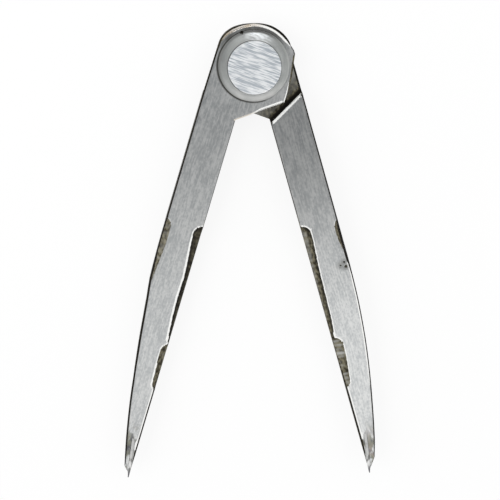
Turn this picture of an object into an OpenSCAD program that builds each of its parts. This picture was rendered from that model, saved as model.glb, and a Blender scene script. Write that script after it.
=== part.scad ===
// Firm-joint layout compass: two forged legs lapped on one riveted friction joint, each
// with a hard point brazed into its end. Millimetres. X points right, Y towards the head and
// Z out of the front face. The origin lies on the pivot, on the rear rivet head's flat face.

/* [Pose] */
// Angle between the legs at rest, in degrees
open_angle = 32.4; // [5:0.1:150]

/* [Legs] */
// Distance from the pivot to the front leg's point
leg_len = 150; // [140:1:220]
// Length by which the rear leg's point has been ground shorter
rear_trim = 1.3; // [0:0.1:3]
// Width of a leg from the pivot's line outwards
leg_w = 13.6; // [12.8:0.1:16]
// Length by which the round head's radius is greater than the leg's width
head_over = 0.95; // [0.3:0.05:1.5]
// Thickness of a leg at the head
leg_t = 6; // [5:0.1:9]
// Length of the straight part, measured from the pivot
straight_len = 61.5; // [40:0.5:80]
// Distance from the pivot at which a leg starts to thin towards its point
thin_start = 52; // [30:0.5:58]
// Slit left between the inner edges of the closed legs
closed_slit = 1.2; // [0.4:0.05:1.4]
// Distance from the pivot's line to the outer edge where the end bevel starts
end_w = 3.35; // [2.8:0.05:5]
// Thickness of a leg where the face bevels start
end_t = 4; // [3:0.1:5]
// Length of the bevel on the outer edge, ending at the point
end_bevel_len = 4.8; // [3.5:0.1:8]
// Length of the bevel on the inner edge, ending at the point
inner_bevel_len = 3.4; // [2:0.1:6]
// Length of the bevels on the front and back faces, ending at the point
face_bevel_len = 10; // [8:0.1:13]

/* [Lap] */
// Distance from the pivot to the lap's lower edge, along the inner edge of the leg
lap_len = 19; // [17.8:0.1:20]
// Slope of the lap's lower edge, in degrees
lap_slope = 36; // [30:0.5:40]
// Distance from the pivot to the shoulder that faces the other leg's lap
shoulder_dist = 17.8; // [17:0.1:22]
// Slope of the shoulder, in degrees
shoulder_slope = 29.5; // [20:0.5:38]
// Slope of the front lap's free side beside the head, in degrees
side_slope = 9; // [4:0.5:14]
// Slope of the rear lap's free side, which is filed back behind the front leg, in degrees
rear_side_slope = 22; // [16:0.5:25]
// Chamfer on the shoulder and on the lap's lower edge
lap_chamfer = 0.7; // [0.2:0.05:1.2]

/* [Hollows] */
// Radius of the round hollows forged along the edges
hollow_r = 6; // [4.5:0.1:9]
// Length over which a hollow's section narrows to nothing at each end
hollow_nose = 13; // [8:0.5:20]
// Slope of a hollow from the face down to the edge, in degrees
hollow_slope = 32; // [22:0.5:37]
// Start and stop of the upper inner hollow, measured from the pivot
inner_upper_span = [57, 97.5]; // [50:0.5:130]
// Width of the upper inner hollow at its two ends
inner_upper_w = [3.0, 1.4]; // [0.8:0.1:3.5]
// Start and stop of the lower inner hollow, measured from the pivot
inner_lower_span = [98.3, 117]; // [50:0.5:130]
// Width of the lower inner hollow at its two ends
inner_lower_w = [2.8, 2.1]; // [0.8:0.1:3.5]
// Start and stop of the outer hollow, measured from the pivot
outer_span = [57, 77]; // [45:0.5:130]
// Width of the outer hollow at its two ends
outer_w = [2.2, 1.2]; // [0.8:0.1:3.5]

/* [Points] */
// Width of the hard steel strip that makes a point
point_w = 1.1; // [0.8:0.05:1.4]
// Length of the strip, from the slot's end to the point
point_len = 14.6; // [10:0.1:18]
// Angle of the strip to the inner edge, in degrees
point_slope = 8.5; // [6:0.5:10]
// Distance of the point from the pivot's line
point_offset = 0.65; // [0.4:0.05:0.8]
// Width of the blunt end of the point
point_flat = 0.24; // [0.1:0.02:0.4]
// Gap for the braze on each side of the strip
braze_gap = 0.04; // [0.02:0.01:0.08]

/* [Joint] */
// Diameter of the rivet's shank
shank_d = 10; // [8:0.1:11]
// Diameter of the rivet's heads
rivet_head_d = 18; // [16:0.1:19]
// Thickness of the rivet's heads
rivet_head_t = 0.9; // [0.6:0.05:1.6]
// Chamfer round the rivet's heads
rivet_chamfer = 0.3; // [0.1:0.05:0.5]
// Diameter of the outer washers
washer_d = 24; // [22.5:0.1:25.5]
// Thickness of the outer washers under the rivet's heads
washer_t = 1.1; // [0.8:0.05:2]
// Height of the washer's lip round the rivet's head, above that thickness
washer_lip = 0.4; // [0.2:0.05:0.6]
// Fall of the washer's top from its lip to its rim
washer_fall = 0.4; // [0.1:0.05:0.5]
// Chamfer round the washer's rim
washer_chamfer = 0.35; // [0.1:0.05:0.5]
// Diameter of the friction disc between the laps
friction_d = 24; // [20:0.1:26]
// Thickness of the friction disc
friction_t = 0.4; // [0.2:0.05:0.8]
// Diameter of the disc spring behind the rear lap
spring_d = 19; // [16:0.1:20]
// Thickness of the disc spring's sheet
spring_t = 0.5; // [0.3:0.05:0.8]
// Dish of the disc spring as fitted
spring_dish = 0.18; // [0.1:0.02:0.4]
// Diameter of the punch mark that keeps the front washer from turning
stake_d = 1.3; // [0.8:0.1:1.6]
// Depth of the punch mark in the leg
stake_depth = 0.5; // [0.3:0.05:0.8]
// Distance of the punch mark's centre outside the washer's rim
stake_out = 0.12; // [0.05:0.01:0.4]
// Direction of the punch mark from the pivot, in degrees from the leg's cross direction
stake_angle = 125; // [100:1:150]

/* [Clearances] */
// Radial clearance of the shank in the leg that turns on it
running_clear = 0.04; // [0.02:0.01:0.08]
// Radial clearance of the shank in the pieces that stay still
seat_clear = 0.05; // [0.02:0.01:0.1]
// Gap between flat faces that slide on each other
face_clear = 0.02; // [0.01:0.01:0.05]
// Radial gap round the rivet's head in its washer and round the spring in its pocket
pocket_clear = 0.2; // [0.1:0.05:0.4]

/* [Hidden] */
$fn = 96;
half_open = open_angle / 2;
head_r = leg_w + head_over;
inner_x = -closed_slit / 2;
rear_len = leg_len - rear_trim;
// The outer edge leaves the straight part as one arc, tangent to it
taper_drop = leg_w - end_w;
taper_run = leg_len - end_bevel_len - straight_len;
taper_r = (taper_run * taper_run + taper_drop * taper_drop) / (2 * taper_drop);
taper_fn = 900;
thin_angle = atan((leg_t - end_t) / 2 / (leg_len - face_bevel_len - thin_start));
// The laps share the leg's thickness with the friction disc between them
lap_gap = friction_t + 2 * face_clear;
lap_t = (leg_t - lap_gap) / 2;
lap_corner = lap_len - tan(lap_slope) * (leg_w + closed_slit / 2);
spring_pocket = spring_dish + spring_t + face_clear;
// Heights of the stack, from the rear rivet head's face
rear_face_z = rivet_head_t + washer_t + face_clear;
mid_z = rear_face_z + leg_t / 2;
front_face_z = rear_face_z + leg_t;
rivet_len = front_face_z + washer_t + rivet_head_t;
// Overshoot of a cutter past the faces that it cuts
over = 1;

// Half the thickness of a leg at a distance from the pivot
function half_thick(dist) = leg_t / 2 - max(0, dist - thin_start) * tan(thin_angle);

// Place of the outer edge at a distance from the pivot
function outer_x(dist) =
    let (run = max(0, dist - straight_len))
    taper_r - leg_w - sqrt(taper_r * taper_r - run * run);

// Centre of a hollow's round section, outwards of the leg's edge and above its face
function hollow_centre(width) =
    let (drop = width * tan(hollow_slope),
         chord = norm([width, drop]),
         rise = sqrt(hollow_r * hollow_r - chord * chord / 4))
    [drop / chord * rise - width / 2, width / chord * rise - drop / 2];

// Length of a hollow's tapering end, measured along the edge
function hollow_end(width) = hollow_nose * (1 - norm(hollow_centre(width)) / hollow_r);

// Outline of a leg of some length without its lap, with the end ground to the point
module blade_outline(len) {
    tip_x = -point_flat / 2 - point_offset;
    // The end bevel's line goes on past the outer edge, up to the leg's full width
    bevel_rise = end_bevel_len * (leg_w + tip_x) / (tip_x - outer_x(len - end_bevel_len));
    intersection() {
        polygon([
            [inner_x, 0],
            [inner_x, inner_bevel_len - len],
            [point_flat / 2 - point_offset, -len],
            [tip_x, -len],
            [-leg_w, bevel_rise - len],
            [-leg_w, 0]
        ]);
        union() {
            translate([-leg_w, -straight_len]) square([leg_w, straight_len]);
            intersection() {
                translate([taper_r - leg_w, -straight_len]) circle(taper_r, $fn = taper_fn);
                translate([-leg_w, -leg_len]) square([leg_w, leg_len - straight_len]);
            }
        }
    }
}

// Outline of the lap: the round head, cut off along the leg's outer edge and along the lap's
// free side, and below it the straight sides and the sloping lower edge
module lap_outline(free_slope) {
    intersection() {
        circle(head_r);
        polygon([
            [-leg_w, 0], [leg_w, 0], [leg_w - tan(free_slope) * head_r, head_r],
            [-leg_w, head_r]
        ]);
    }
    polygon([
        [-leg_w, 0], [leg_w, 0], [leg_w, -lap_corner],
        [inner_x, -lap_len], [-leg_w, -lap_len]
    ]);
}

// The side of the shoulder on which the leg keeps its full thickness
module below_shoulder() {
    rotate(-shoulder_slope)
        translate([-leg_len, -shoulder_dist - 2 * leg_len]) square(2 * leg_len);
}

// Square bar on edge, which cuts a chamfer along X at the origin
module chamfer_bar(length, size) {
    rotate([45, 0, 0]) cube([length, size * sqrt(2), size * sqrt(2)], center = true);
}

// Everything in front of a sloping face that starts at a distance from the pivot
module slope_cut(dist, height, angle) {
    translate([0, -dist, height]) rotate([angle, 0, 0])
        translate([-2 * leg_w, -leg_len, 0]) cube([3 * leg_w, 2 * leg_len, leg_t]);
}

// Everything in front of the thinned face and the face bevel of a leg
module face_cut(len) {
    bevel_dist = len - face_bevel_len;
    bevel_height = half_thick(bevel_dist);
    slope_cut(thin_start, leg_t / 2, thin_angle);
    slope_cut(bevel_dist, bevel_height, atan((bevel_height - point_flat / 2) / face_bevel_len));
}

// Both of a pair that lies on the front and on the back of a leg
module both_faces() {
    children();
    mirror([0, 0, 1]) children();
}

// Rod with pointed ends, between two points
module nosed_rod(from, to, r) {
    run = to - from;
    len = norm(run);
    translate(from) rotate([0, acos(run.z / len), atan2(run.y, run.x)])
        rotate_extrude() polygon([[0, -hollow_nose], [r, 0], [r, len], [0, len + hollow_nose]]);
}

// Hollow along the inner edge of a leg, or along its outer edge
module edge_hollow(span, widths, on_outer = false) {
    ends = [span[0] + hollow_end(widths[0]), span[1] - hollow_end(widths[1])];
    centres = [for (i = [0, 1])
        let (centre = hollow_centre(widths[i]))
        [on_outer ? outer_x(ends[i]) - centre.x : inner_x + centre.x,
         -ends[i], half_thick(ends[i]) + centre.y]];
    nosed_rod(centres[0], centres[1], hollow_r);
}

// A leg in its own frame, with its lap in front: pivot at the origin, point towards -Y
module leg(len, free_slope, bore_clear) {
    difference() {
        union() {
            translate([0, 0, lap_gap / 2]) linear_extrude(lap_t) {
                lap_outline(free_slope);
                blade_outline(len);
            }
            translate([0, 0, -leg_t / 2]) linear_extrude(leg_t - lap_t) intersection() {
                blade_outline(len);
                below_shoulder();
            }
        }
        both_faces() {
            face_cut(len);
            edge_hollow(inner_upper_span, inner_upper_w);
            edge_hollow(inner_lower_span, inner_lower_w);
            edge_hollow(outer_span, outer_w, on_outer = true);
        }
        rotate([0, 0, -shoulder_slope]) translate([0, -shoulder_dist, -leg_t / 2])
            chamfer_bar(4 * leg_w, lap_chamfer);
        translate([inner_x, -lap_len, leg_t / 2]) rotate([0, 0, lap_slope])
            translate([lap_chamfer + 2 * leg_w, 0, 0]) chamfer_bar(4 * leg_w, lap_chamfer);
        point_strip(len, braze_gap);
        cylinder(d = shank_d + 2 * bore_clear, h = 2 * leg_t, center = true);
    }
}

// A strip along the line of the point, or its slot with a gap round it
module point_strip(len, gap) {
    translate([-point_offset, -len, -leg_t]) rotate([0, 0, point_slope])
        translate([-point_w / 2 - gap, -over, 0])
            cube([point_w + 2 * gap, point_len + gap + over, 2 * leg_t]);
}

// The point in the leg's frame, ground flush with the leg
module point(len) {
    difference() {
        intersection() {
            point_strip(len, 0);
            translate([0, 0, -leg_t / 2]) linear_extrude(leg_t) blade_outline(len);
        }
        both_faces() face_cut(len);
    }
}

// Punch mark at the washer's rim, in the frame of the front leg
module stake() {
    rotate([0, 0, stake_angle]) translate([washer_d / 2 + stake_out, 0, leg_t / 2 - stake_depth])
        cylinder(d = stake_d, h = stake_depth + washer_t + washer_lip + over);
}

// Places a front leg's pieces in the compass
module at_front_leg() {
    translate([0, 0, mid_z]) rotate([0, 0, -half_open]) children();
}

// Places a rear leg's pieces in the compass: the same leg, turned over
module at_rear_leg() {
    translate([0, 0, mid_z]) rotate([0, 0, half_open]) rotate([0, 180, 0]) children();
}

// Outer washer on a leg's face, with a recess for the rivet's head
module outer_washer() {
    bore_r = shank_d / 2 + seat_clear;
    recess_r = rivet_head_d / 2 + pocket_clear;
    rim_r = washer_d / 2;
    lip_z = washer_t + washer_lip;
    rim_z = lip_z - washer_fall;
    rotate_extrude() polygon([
        [bore_r, 0], [rim_r, 0], [rim_r, rim_z - washer_chamfer],
        [rim_r - washer_chamfer, rim_z], [recess_r, lip_z], [recess_r, washer_t],
        [bore_r, washer_t]
    ]);
}

module front_leg() {
    color("silver") at_front_leg() difference() {
        leg(leg_len, side_slope, seat_clear);
        stake();
    }
}

module rear_leg() {
    color("silver") at_rear_leg() difference() {
        leg(rear_len, rear_side_slope, running_clear);
        translate([0, 0, leg_t / 2 - spring_pocket])
            cylinder(d = spring_d + 2 * pocket_clear, h = spring_pocket + over);
    }
}

module front_point() {
    color("dimgray") at_front_leg() point(leg_len);
}

module rear_point() {
    color("dimgray") at_rear_leg() point(rear_len);
}

module pivot_rivet() {
    rivet_r = rivet_head_d / 2;
    rim_r = rivet_r - rivet_chamfer;
    grip_end = rivet_len - rivet_head_t;
    color("gainsboro") rotate_extrude() polygon([
        [0, 0], [rim_r, 0], [rivet_r, rivet_chamfer], [rivet_r, rivet_head_t],
        [shank_d / 2, rivet_head_t], [shank_d / 2, grip_end],
        [rivet_r, grip_end], [rivet_r, rivet_len - rivet_chamfer], [rim_r, rivet_len],
        [0, rivet_len]
    ]);
}

module front_washer() {
    color("darkgray") difference() {
        translate([0, 0, front_face_z]) outer_washer();
        at_front_leg() stake();
    }
}

module rear_washer() {
    color("darkgray") translate([0, 0, rivet_head_t + washer_t]) mirror([0, 0, 1])
        outer_washer();
}

module friction_disc() {
    color("goldenrod") translate([0, 0, mid_z - friction_t / 2]) difference() {
        cylinder(d = friction_d, h = friction_t);
        translate([0, 0, -over]) cylinder(d = shank_d + 2 * seat_clear, h = friction_t + 2 * over);
    }
}

module disc_spring() {
    inner_r = shank_d / 2 + seat_clear;
    outer_r = spring_d / 2;
    color("gray") translate([0, 0, rivet_head_t + washer_t]) rotate_extrude() polygon([
        [inner_r, 0], [outer_r, spring_dish], [outer_r, spring_dish + spring_t],
        [inner_r, spring_t]
    ]);
}

front_leg();
rear_leg();
front_point();
rear_point();
pivot_rivet();
front_washer();
rear_washer();
friction_disc();
disc_spring();
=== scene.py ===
"""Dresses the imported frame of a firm-joint layout compass: forged and ground legs, brazed-in
points and a riveted friction pivot, on a plain pale floor in soft studio light. Metres."""

from __future__ import annotations

import logging
import math
from dataclasses import dataclass, field, replace
from enum import Enum
from typing import Any, Callable, Iterator, Sequence

import bpy
import numpy as np
from mathutils import Matrix, Vector, noise
from mathutils.geometry import delaunay_2d_cdt


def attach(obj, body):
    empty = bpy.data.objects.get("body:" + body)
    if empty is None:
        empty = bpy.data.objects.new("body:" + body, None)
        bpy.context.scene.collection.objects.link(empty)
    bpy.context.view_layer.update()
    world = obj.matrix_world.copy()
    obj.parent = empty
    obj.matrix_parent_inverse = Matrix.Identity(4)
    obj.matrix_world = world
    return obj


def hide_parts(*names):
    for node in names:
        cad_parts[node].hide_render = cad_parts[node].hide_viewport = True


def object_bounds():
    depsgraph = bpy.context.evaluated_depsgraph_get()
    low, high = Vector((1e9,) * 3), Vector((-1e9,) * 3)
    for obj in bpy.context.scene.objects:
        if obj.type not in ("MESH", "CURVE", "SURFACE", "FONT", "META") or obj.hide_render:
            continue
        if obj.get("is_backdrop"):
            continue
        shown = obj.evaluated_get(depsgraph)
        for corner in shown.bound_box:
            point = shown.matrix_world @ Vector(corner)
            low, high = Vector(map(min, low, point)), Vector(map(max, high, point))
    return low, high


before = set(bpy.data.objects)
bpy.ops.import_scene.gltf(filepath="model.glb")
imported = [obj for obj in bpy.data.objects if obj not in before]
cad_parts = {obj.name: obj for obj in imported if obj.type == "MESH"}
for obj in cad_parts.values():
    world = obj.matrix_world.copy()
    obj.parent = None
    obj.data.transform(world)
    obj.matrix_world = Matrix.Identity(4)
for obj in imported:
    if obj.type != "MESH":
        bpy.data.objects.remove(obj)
CAD_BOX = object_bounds()
LOG = logging.getLogger("layout_compass")

MM = 0.001
HAIR = 0.05 * MM  # a part of a broken edge narrower than this isn't built
MID_Z = 0.00502  # height of the legs' middle above the rear rivet head
HALF_OPEN = math.radians(16.2)  # lean of each leg from the middle line at rest
SIDE_SKIN = 2.0  # mask value of the even forged skin of a leg's sides
SLOT_SKIN = 0.15  # mask value of the walls of a leg's slot
OFF_LEG = (0.5, 0.5)  # a place that is on no leg

Plan = tuple[float, float]
Place = tuple[float, float, float]
Colour = tuple[float, float, float]
Grain = tuple[float, float, float]
Stops = Sequence[tuple[float, Colour]]


def ease(value: float, low: float, high: float) -> float:
    """Rises smoothly from 0 at low to 1 at high.

    Args:
        value: The number to place between the two.
        low: Where the rise starts.
        high: Where the rise ends.

    Returns:
        A share from 0 to 1.
    """
    share = min(1.0, max(0.0, (value - low) / (high - low)))
    return share * share * (3 - 2 * share)


class Value:
    """A number in a shader. Python arithmetic on it adds Math nodes."""

    def __init__(self, graph: Graph, socket: bpy.types.NodeSocket) -> None:
        """Keeps the graph and the socket that carries the number."""
        self.graph, self.socket = graph, socket

    def _math(self, operation: str, *terms: Value | float) -> Value:
        """Adds one Math node.

        Args:
            operation: The Math node's operation.
            terms: What goes into its sockets, in order.

        Returns:
            The node's result.
        """
        made = self.graph.node("ShaderNodeMath", {"operation": operation}, dict(enumerate(terms)))
        return Value(self.graph, made.outputs[0])

    def __add__(self, other: Value | float) -> Value:
        """Sum."""
        return self._math("ADD", self, other)

    __radd__ = __add__

    def __sub__(self, other: Value | float) -> Value:
        """Difference."""
        return self._math("SUBTRACT", self, other)

    def __rsub__(self, other: Value | float) -> Value:
        """Difference, this value taken from the other."""
        return self._math("SUBTRACT", other, self)

    def __mul__(self, other: Value | float) -> Value:
        """Product."""
        return self._math("MULTIPLY", self, other)

    __rmul__ = __mul__

    def __pow__(self, other: Value | float) -> Value:
        """Power."""
        return self._math("POWER", self, other)

    def highest(self, other: Value | float) -> Value:
        """The larger of two values."""
        return self._math("MAXIMUM", self, other)

    def rise(self, low: float, high: float) -> Value:
        """Goes smoothly from 0 at low to 1 at high.

        Args:
            low: Where the rise starts.
            high: Where the rise ends.

        Returns:
            A share from 0 to 1.
        """
        made = self.graph.node(
            "ShaderNodeMapRange",
            {"interpolation_type": "SMOOTHSTEP"},
            {"Value": self, "From Min": low, "From Max": high},
        )
        return Value(self.graph, made.outputs[0])


class Graph:
    """A node tree under construction."""

    def __init__(self, tree: bpy.types.NodeTree) -> None:
        """Empties the tree and keeps it."""
        tree.nodes.clear()
        self.tree = tree

    def node(
        self,
        kind: str,
        settings: dict[str, Any] | None = None,
        sockets: dict[str | int, Any] | None = None,
    ) -> bpy.types.Node:
        """Adds a node.

        Args:
            kind: The node's type.
            settings: Its own settings, set first. "stops" gives a ramp's places and colours.
            sockets: Values or links for its input sockets, by name or number.

        Returns:
            The new node.
        """
        made = self.tree.nodes.new(kind)
        for name, value in (settings or {}).items():
            if name == "stops":
                self._stops(made.color_ramp, value)
            else:
                setattr(made, name, value)
        for key, value in (sockets or {}).items():
            target = made.inputs[key]
            if isinstance(value, Value):
                value = value.socket
            if isinstance(value, bpy.types.NodeSocket):
                self.tree.links.new(value, target)
            else:
                target.default_value = value
        return made

    @staticmethod
    def _stops(ramp: bpy.types.ColorRamp, stops: Stops) -> None:
        """Sets the places and colours of a ramp.

        Args:
            ramp: The ramp, which has two stops to begin with.
            stops: Place and colour of each stop, in order.
        """
        while len(ramp.elements) < len(stops):
            ramp.elements.new(1.0)
        for element, (place, colour) in zip(ramp.elements, stops):
            element.position = place
            element.color = (*colour, 1.0)

    def painted(self, name: str) -> Value:
        """A mask that is painted on the mesh."""
        made = self.node("ShaderNodeAttribute", {"attribute_name": name})
        return Value(self, made.outputs["Fac"])

    def leg_place(self) -> bpy.types.NodeSocket:
        """The place on a leg in the leg's own frame, painted on its mesh."""
        made = self.node("ShaderNodeAttribute", {"attribute_name": "leg_place"})
        return made.outputs["Vector"]

    def piece_place(self) -> bpy.types.NodeSocket:
        """The place on a piece at rest, which moves with the piece."""
        return self.node("ShaderNodeTexCoord").outputs["Object"]

    def turned(self, place: bpy.types.NodeSocket, degrees: float) -> bpy.types.NodeSocket:
        """A place turned about the pivot's direction.

        Args:
            place: The place to turn.
            degrees: The angle.

        Returns:
            The turned place.
        """
        made = self.node(
            "ShaderNodeVectorRotate",
            {"rotation_type": "Z_AXIS"},
            {"Vector": place, "Angle": math.radians(degrees)},
        )
        return made.outputs[0]

    def axes(self, place: bpy.types.NodeSocket) -> tuple[Value, Value, Value]:
        """The three numbers of a place."""
        made = self.node("ShaderNodeSeparateXYZ", None, {0: place})
        return tuple(Value(self, made.outputs[i]) for i in range(3))

    def radius(self, place: bpy.types.NodeSocket, centre: Plan = (0.0, 0.0)) -> Value:
        """Distance of a place from an axis along the pivot's direction.

        Args:
            place: The place.
            centre: Where the axis crosses the plane of the legs.

        Returns:
            The distance, in metres.
        """
        across, along, _ = self.axes(place)
        across, along = across - centre[0], along - centre[1]
        return (across * across + along * along) ** 0.5

    def grain(
        self,
        place: bpy.types.NodeSocket,
        scale: Grain,
        detail: float = 3.0,
    ) -> Value:
        """Noise with its own scale along each axis.

        Args:
            place: Where on the piece.
            scale: Grains to the metre along each axis.
            detail: Octaves of the noise.

        Returns:
            A number about 0.5.
        """
        stretched = self.node(
            "ShaderNodeVectorMath", {"operation": "MULTIPLY"}, {0: place, 1: scale}
        )
        made = self.node(
            "ShaderNodeTexNoise",
            None,
            {"Vector": stretched.outputs[0], "Scale": 1.0, "Detail": detail},
        )
        return Value(self, made.outputs[0])

    def blend(self, share: Value, first: Any, second: Any) -> bpy.types.NodeSocket:
        """Mixes two colours.

        Args:
            share: How much of the second colour shows.
            first: A colour, or a link that carries one.
            second: A colour, or a link that carries one.

        Returns:
            The mixed colour.
        """
        first, second = ((*c, 1.0) if isinstance(c, tuple) else c for c in (first, second))
        made = self.node(
            "ShaderNodeMix", {"data_type": "RGBA"}, {0: share, 6: first, 7: second}
        )
        return made.outputs[2]

    def ramp(self, value: Value, stops: Stops) -> bpy.types.NodeSocket:
        """A colour that follows a value.

        Args:
            value: From 0 to 1.
            stops: Place and colour of each stop.

        Returns:
            The colour.
        """
        return self.node("ShaderNodeValToRGB", {"stops": stops}, {0: value}).outputs[0]

    def relief(self, height: Value, distance: float) -> bpy.types.NodeSocket:
        """A surface's fine relief.

        Args:
            height: The relief's height, from 0 to 1.
            distance: Height in metres that 1 stands for.

        Returns:
            The normal.
        """
        made = self.node("ShaderNodeBump", None, {"Distance": distance, "Height": height})
        return made.outputs[0]

    def seen_directly(self) -> Value:
        """Tells the rays that see a surface from those that only carry light.

        Returns:
            1 for rays from the camera, from gloss and through glass, and 0 for the rest.
        """
        path = self.node("ShaderNodeLightPath")
        camera, glossy, through = (
            Value(self, path.outputs[n])
            for n in ("Is Camera Ray", "Is Glossy Ray", "Is Transmission Ray")
        )
        return camera.highest(glossy).highest(through)


@dataclass(frozen=True)
class Finish:
    """A finish that becomes one material."""

    name: str

    def sockets(self, graph: Graph) -> dict[str, Any]:
        """What goes into the shader's sockets, by their names."""
        raise NotImplementedError

    def shader(self, graph: Graph) -> bpy.types.Node:
        """Adds the finish's shader."""
        return graph.node("ShaderNodeBsdfPrincipled", None, self.sockets(graph))

    def material(self) -> bpy.types.Material:
        """Makes the material.

        Returns:
            A material with the finish's shader in it.
        """
        made = bpy.data.materials.new(self.name)
        made.use_nodes = True
        graph = Graph(made.node_tree)
        shader = self.shader(graph)
        graph.node("ShaderNodeOutputMaterial", None, {"Surface": shader.outputs[0]})
        return made


@dataclass(frozen=True)
class LegSpot:
    """What the parts of a leg's shader share: the place on the leg and the noises there."""

    place: bpy.types.NodeSocket
    across: Value
    y: Value
    up: Value
    strokes: Value
    clouds: Value
    speckle: Value
    lumps: Value


@dataclass(frozen=True)
class ForgedLeg(Finish):
    """Forged steel: faces ground lengthwise, worn edges, dark scale left in hollows and sides, and
    painted light and shade.

    A run gives the two places, in the leg's own frame, between which something sets in. A grain
    gives a noise's grains to the metre along each axis.
    """

    # The ground steel is painted darker towards the head, as painted shade of the dimmer
    # reflection there.
    shaded_head_tone: float = 0.440
    low_tone: float = 0.605
    tone_run: Plan = (0.015, 0.105)
    cool: Colour = (0.80, 0.825, 0.83)
    warm: Colour = (1.15, 1.16, 1.145)
    # Bright colour of worn edges, partly a painted highlight.
    worn: Colour = (0.95, 0.95, 0.93)
    tan: Colour = (0.56, 0.475, 0.37)
    olive: Colour = (0.20, 0.175, 0.105)
    scale_dark: Colour = (0.024, 0.020, 0.011)
    scale_pale: Colour = (0.200, 0.182, 0.125)
    scale_grey: Colour = (0.370, 0.370, 0.350)
    # Black, for dark forged skin and for painted shade at edges, corners and the lap floor.
    black_and_shade: Colour = (0.007, 0.006, 0.004)
    # Colour of the painted shade round the washer.
    washer_shade: Colour = (0.060, 0.058, 0.050)
    smudge: Colour = (0.20, 0.20, 0.19)
    side_dark: Colour = (0.034, 0.030, 0.023)
    side_pale: Colour = (0.088, 0.081, 0.065)
    stroke_grain: Grain = (2200.0, 220.0, 2200.0)
    cloud_grain: Grain = (230.0, 120.0, 230.0)
    speckle_grain: Grain = (1500.0, 1000.0, 1500.0)
    lump_grain: Grain = (1000.0, 700.0, 1000.0)
    flow_grain: Grain = (700.0, 110.0, 700.0)
    stain_grain: Grain = (520.0, 230.0, 520.0)
    tint_grain: Grain = (330.0, 190.0, 330.0)
    tints: tuple[tuple[float, Colour], ...] = (
        (0.36, (0.08, 0.08, 0.09)),
        (0.46, (0.20, 0.20, 0.15)),
        (0.56, (0.31, 0.27, 0.23)),
        (0.66, (0.16, 0.15, 0.18)),
    )
    heat_run: Plan = (0.128, 0.139)
    outer_stain_run: Plan = (0.0014, 0.0042)
    washer_centre: Plan = (0.0, 0.0)
    washer_r: float = 0.012
    # Places of the painted shade round the washer: its ring, its band over the head and its fade.
    washer_shade_shift: Plan = (-0.00016, -0.00014)
    washer_shade_band: Plan = (0.00015, 0.00070)
    crown_band: Plan = (0.0009, 0.0019)
    crown_run: Plan = (0.001, 0.007)
    side_light_run: Plan = (0.0060, 0.0095)
    front_run: Plan = (0.002, 0.0025)
    rust_across: Plan = (-0.007, 0.001)
    rust_run: Plan = (0.0, 0.005)
    fresh_rust_run: Plan = (0.0048, 0.0090)
    lap_foot: Plan = (-0.0006, -0.019)
    foot_run: Plan = (0.004, 0.0085)
    relief_height: float = 0.00004

    def _spot(self, graph: Graph) -> LegSpot:
        """The place on the leg and the noises there.

        Args:
            graph: The material's graph.

        Returns:
            What the parts of the shader share.
        """
        place = graph.leg_place()
        return LegSpot(
            place,
            *graph.axes(place),
            strokes=graph.grain(place, self.stroke_grain),
            clouds=graph.grain(place, self.cloud_grain, 4.0),
            speckle=graph.grain(place, self.speckle_grain),
            lumps=graph.grain(place, self.lump_grain, 4.0),
        )

    def _ground(self, graph: Graph, share: Value, tone: float) -> bpy.types.NodeSocket:
        """The ground steel's colour at one level of tone.

        Args:
            graph: The material's graph.
            share: How much of the warm, paler colour shows.
            tone: The colour's level.

        Returns:
            The colour.
        """
        cool, warm = (tuple(tone * c for c in colour) for colour in (self.cool, self.warm))
        return graph.blend(share, cool, warm)

    def _washer_shade_share(self, graph: Graph, spot: LegSpot) -> Value:
        """How much painted shade lies round the washer.

        Args:
            graph: The material's graph.
            spot: The place on the leg.

        Returns:
            A share: a thin ring of painted shadow where the washer sits, and a broad band of
            painted shade over the head.
        """
        ring_centre = tuple(a + b for a, b in zip(self.washer_centre, self.washer_shade_shift))
        ring = graph.radius(spot.place, ring_centre)
        ring = 1 - ring.rise(*(self.washer_r + reach for reach in self.washer_shade_band))
        crown = graph.radius(spot.place, self.washer_centre)
        crown = 1 - crown.rise(*(self.washer_r + reach for reach in self.crown_band))
        crown = crown * spot.y.rise(*self.crown_run)
        crown = crown * (0.45 + spot.clouds.rise(0.30, 0.60) * 0.40)
        # the painted shade fades towards the right of the head
        side_light = 1 - spot.across.rise(*self.side_light_run) * 0.85
        return ring.highest(crown) * side_light * spot.up.rise(*self.front_run) * 0.92

    def _heat_share(self, graph: Graph, spot: LegSpot) -> Value:
        """How much the brazing heat has stained the leg's end.

        Args:
            graph: The material's graph.
            spot: The place on the leg.

        Returns:
            A share, larger towards the outer edge.
        """
        stain = graph.grain(spot.place, self.stain_grain)
        outer = (0.0 - spot.across).rise(*self.outer_stain_run)
        stain = stain - 0.07 + outer * 0.15
        return (0.0 - spot.y).rise(*self.heat_run) * stain.rise(0.43, 0.56)

    def _edge_colour(self, graph: Graph, spot: LegSpot) -> bpy.types.NodeSocket:
        """The colour of worn edges, partly a painted highlight, which has rusted at the head and
        at the lap's foot.

        Args:
            graph: The material's graph.
            spot: The place on the leg.

        Returns:
            The colour.
        """
        rust = (1 - spot.across.rise(*self.rust_across)) * spot.y.rise(*self.rust_run)
        rust = rust * (0.5 + spot.clouds.rise(0.35, 0.60) * 0.5)
        old_rust = rust * (1 - spot.y.rise(*self.fresh_rust_run))
        foot = 1 - graph.radius(spot.place, self.lap_foot).rise(*self.foot_run)
        bright = graph.blend(rust.highest(foot * 0.7), self.worn, self.tan)
        return graph.blend(old_rust, bright, self.olive)

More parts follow.
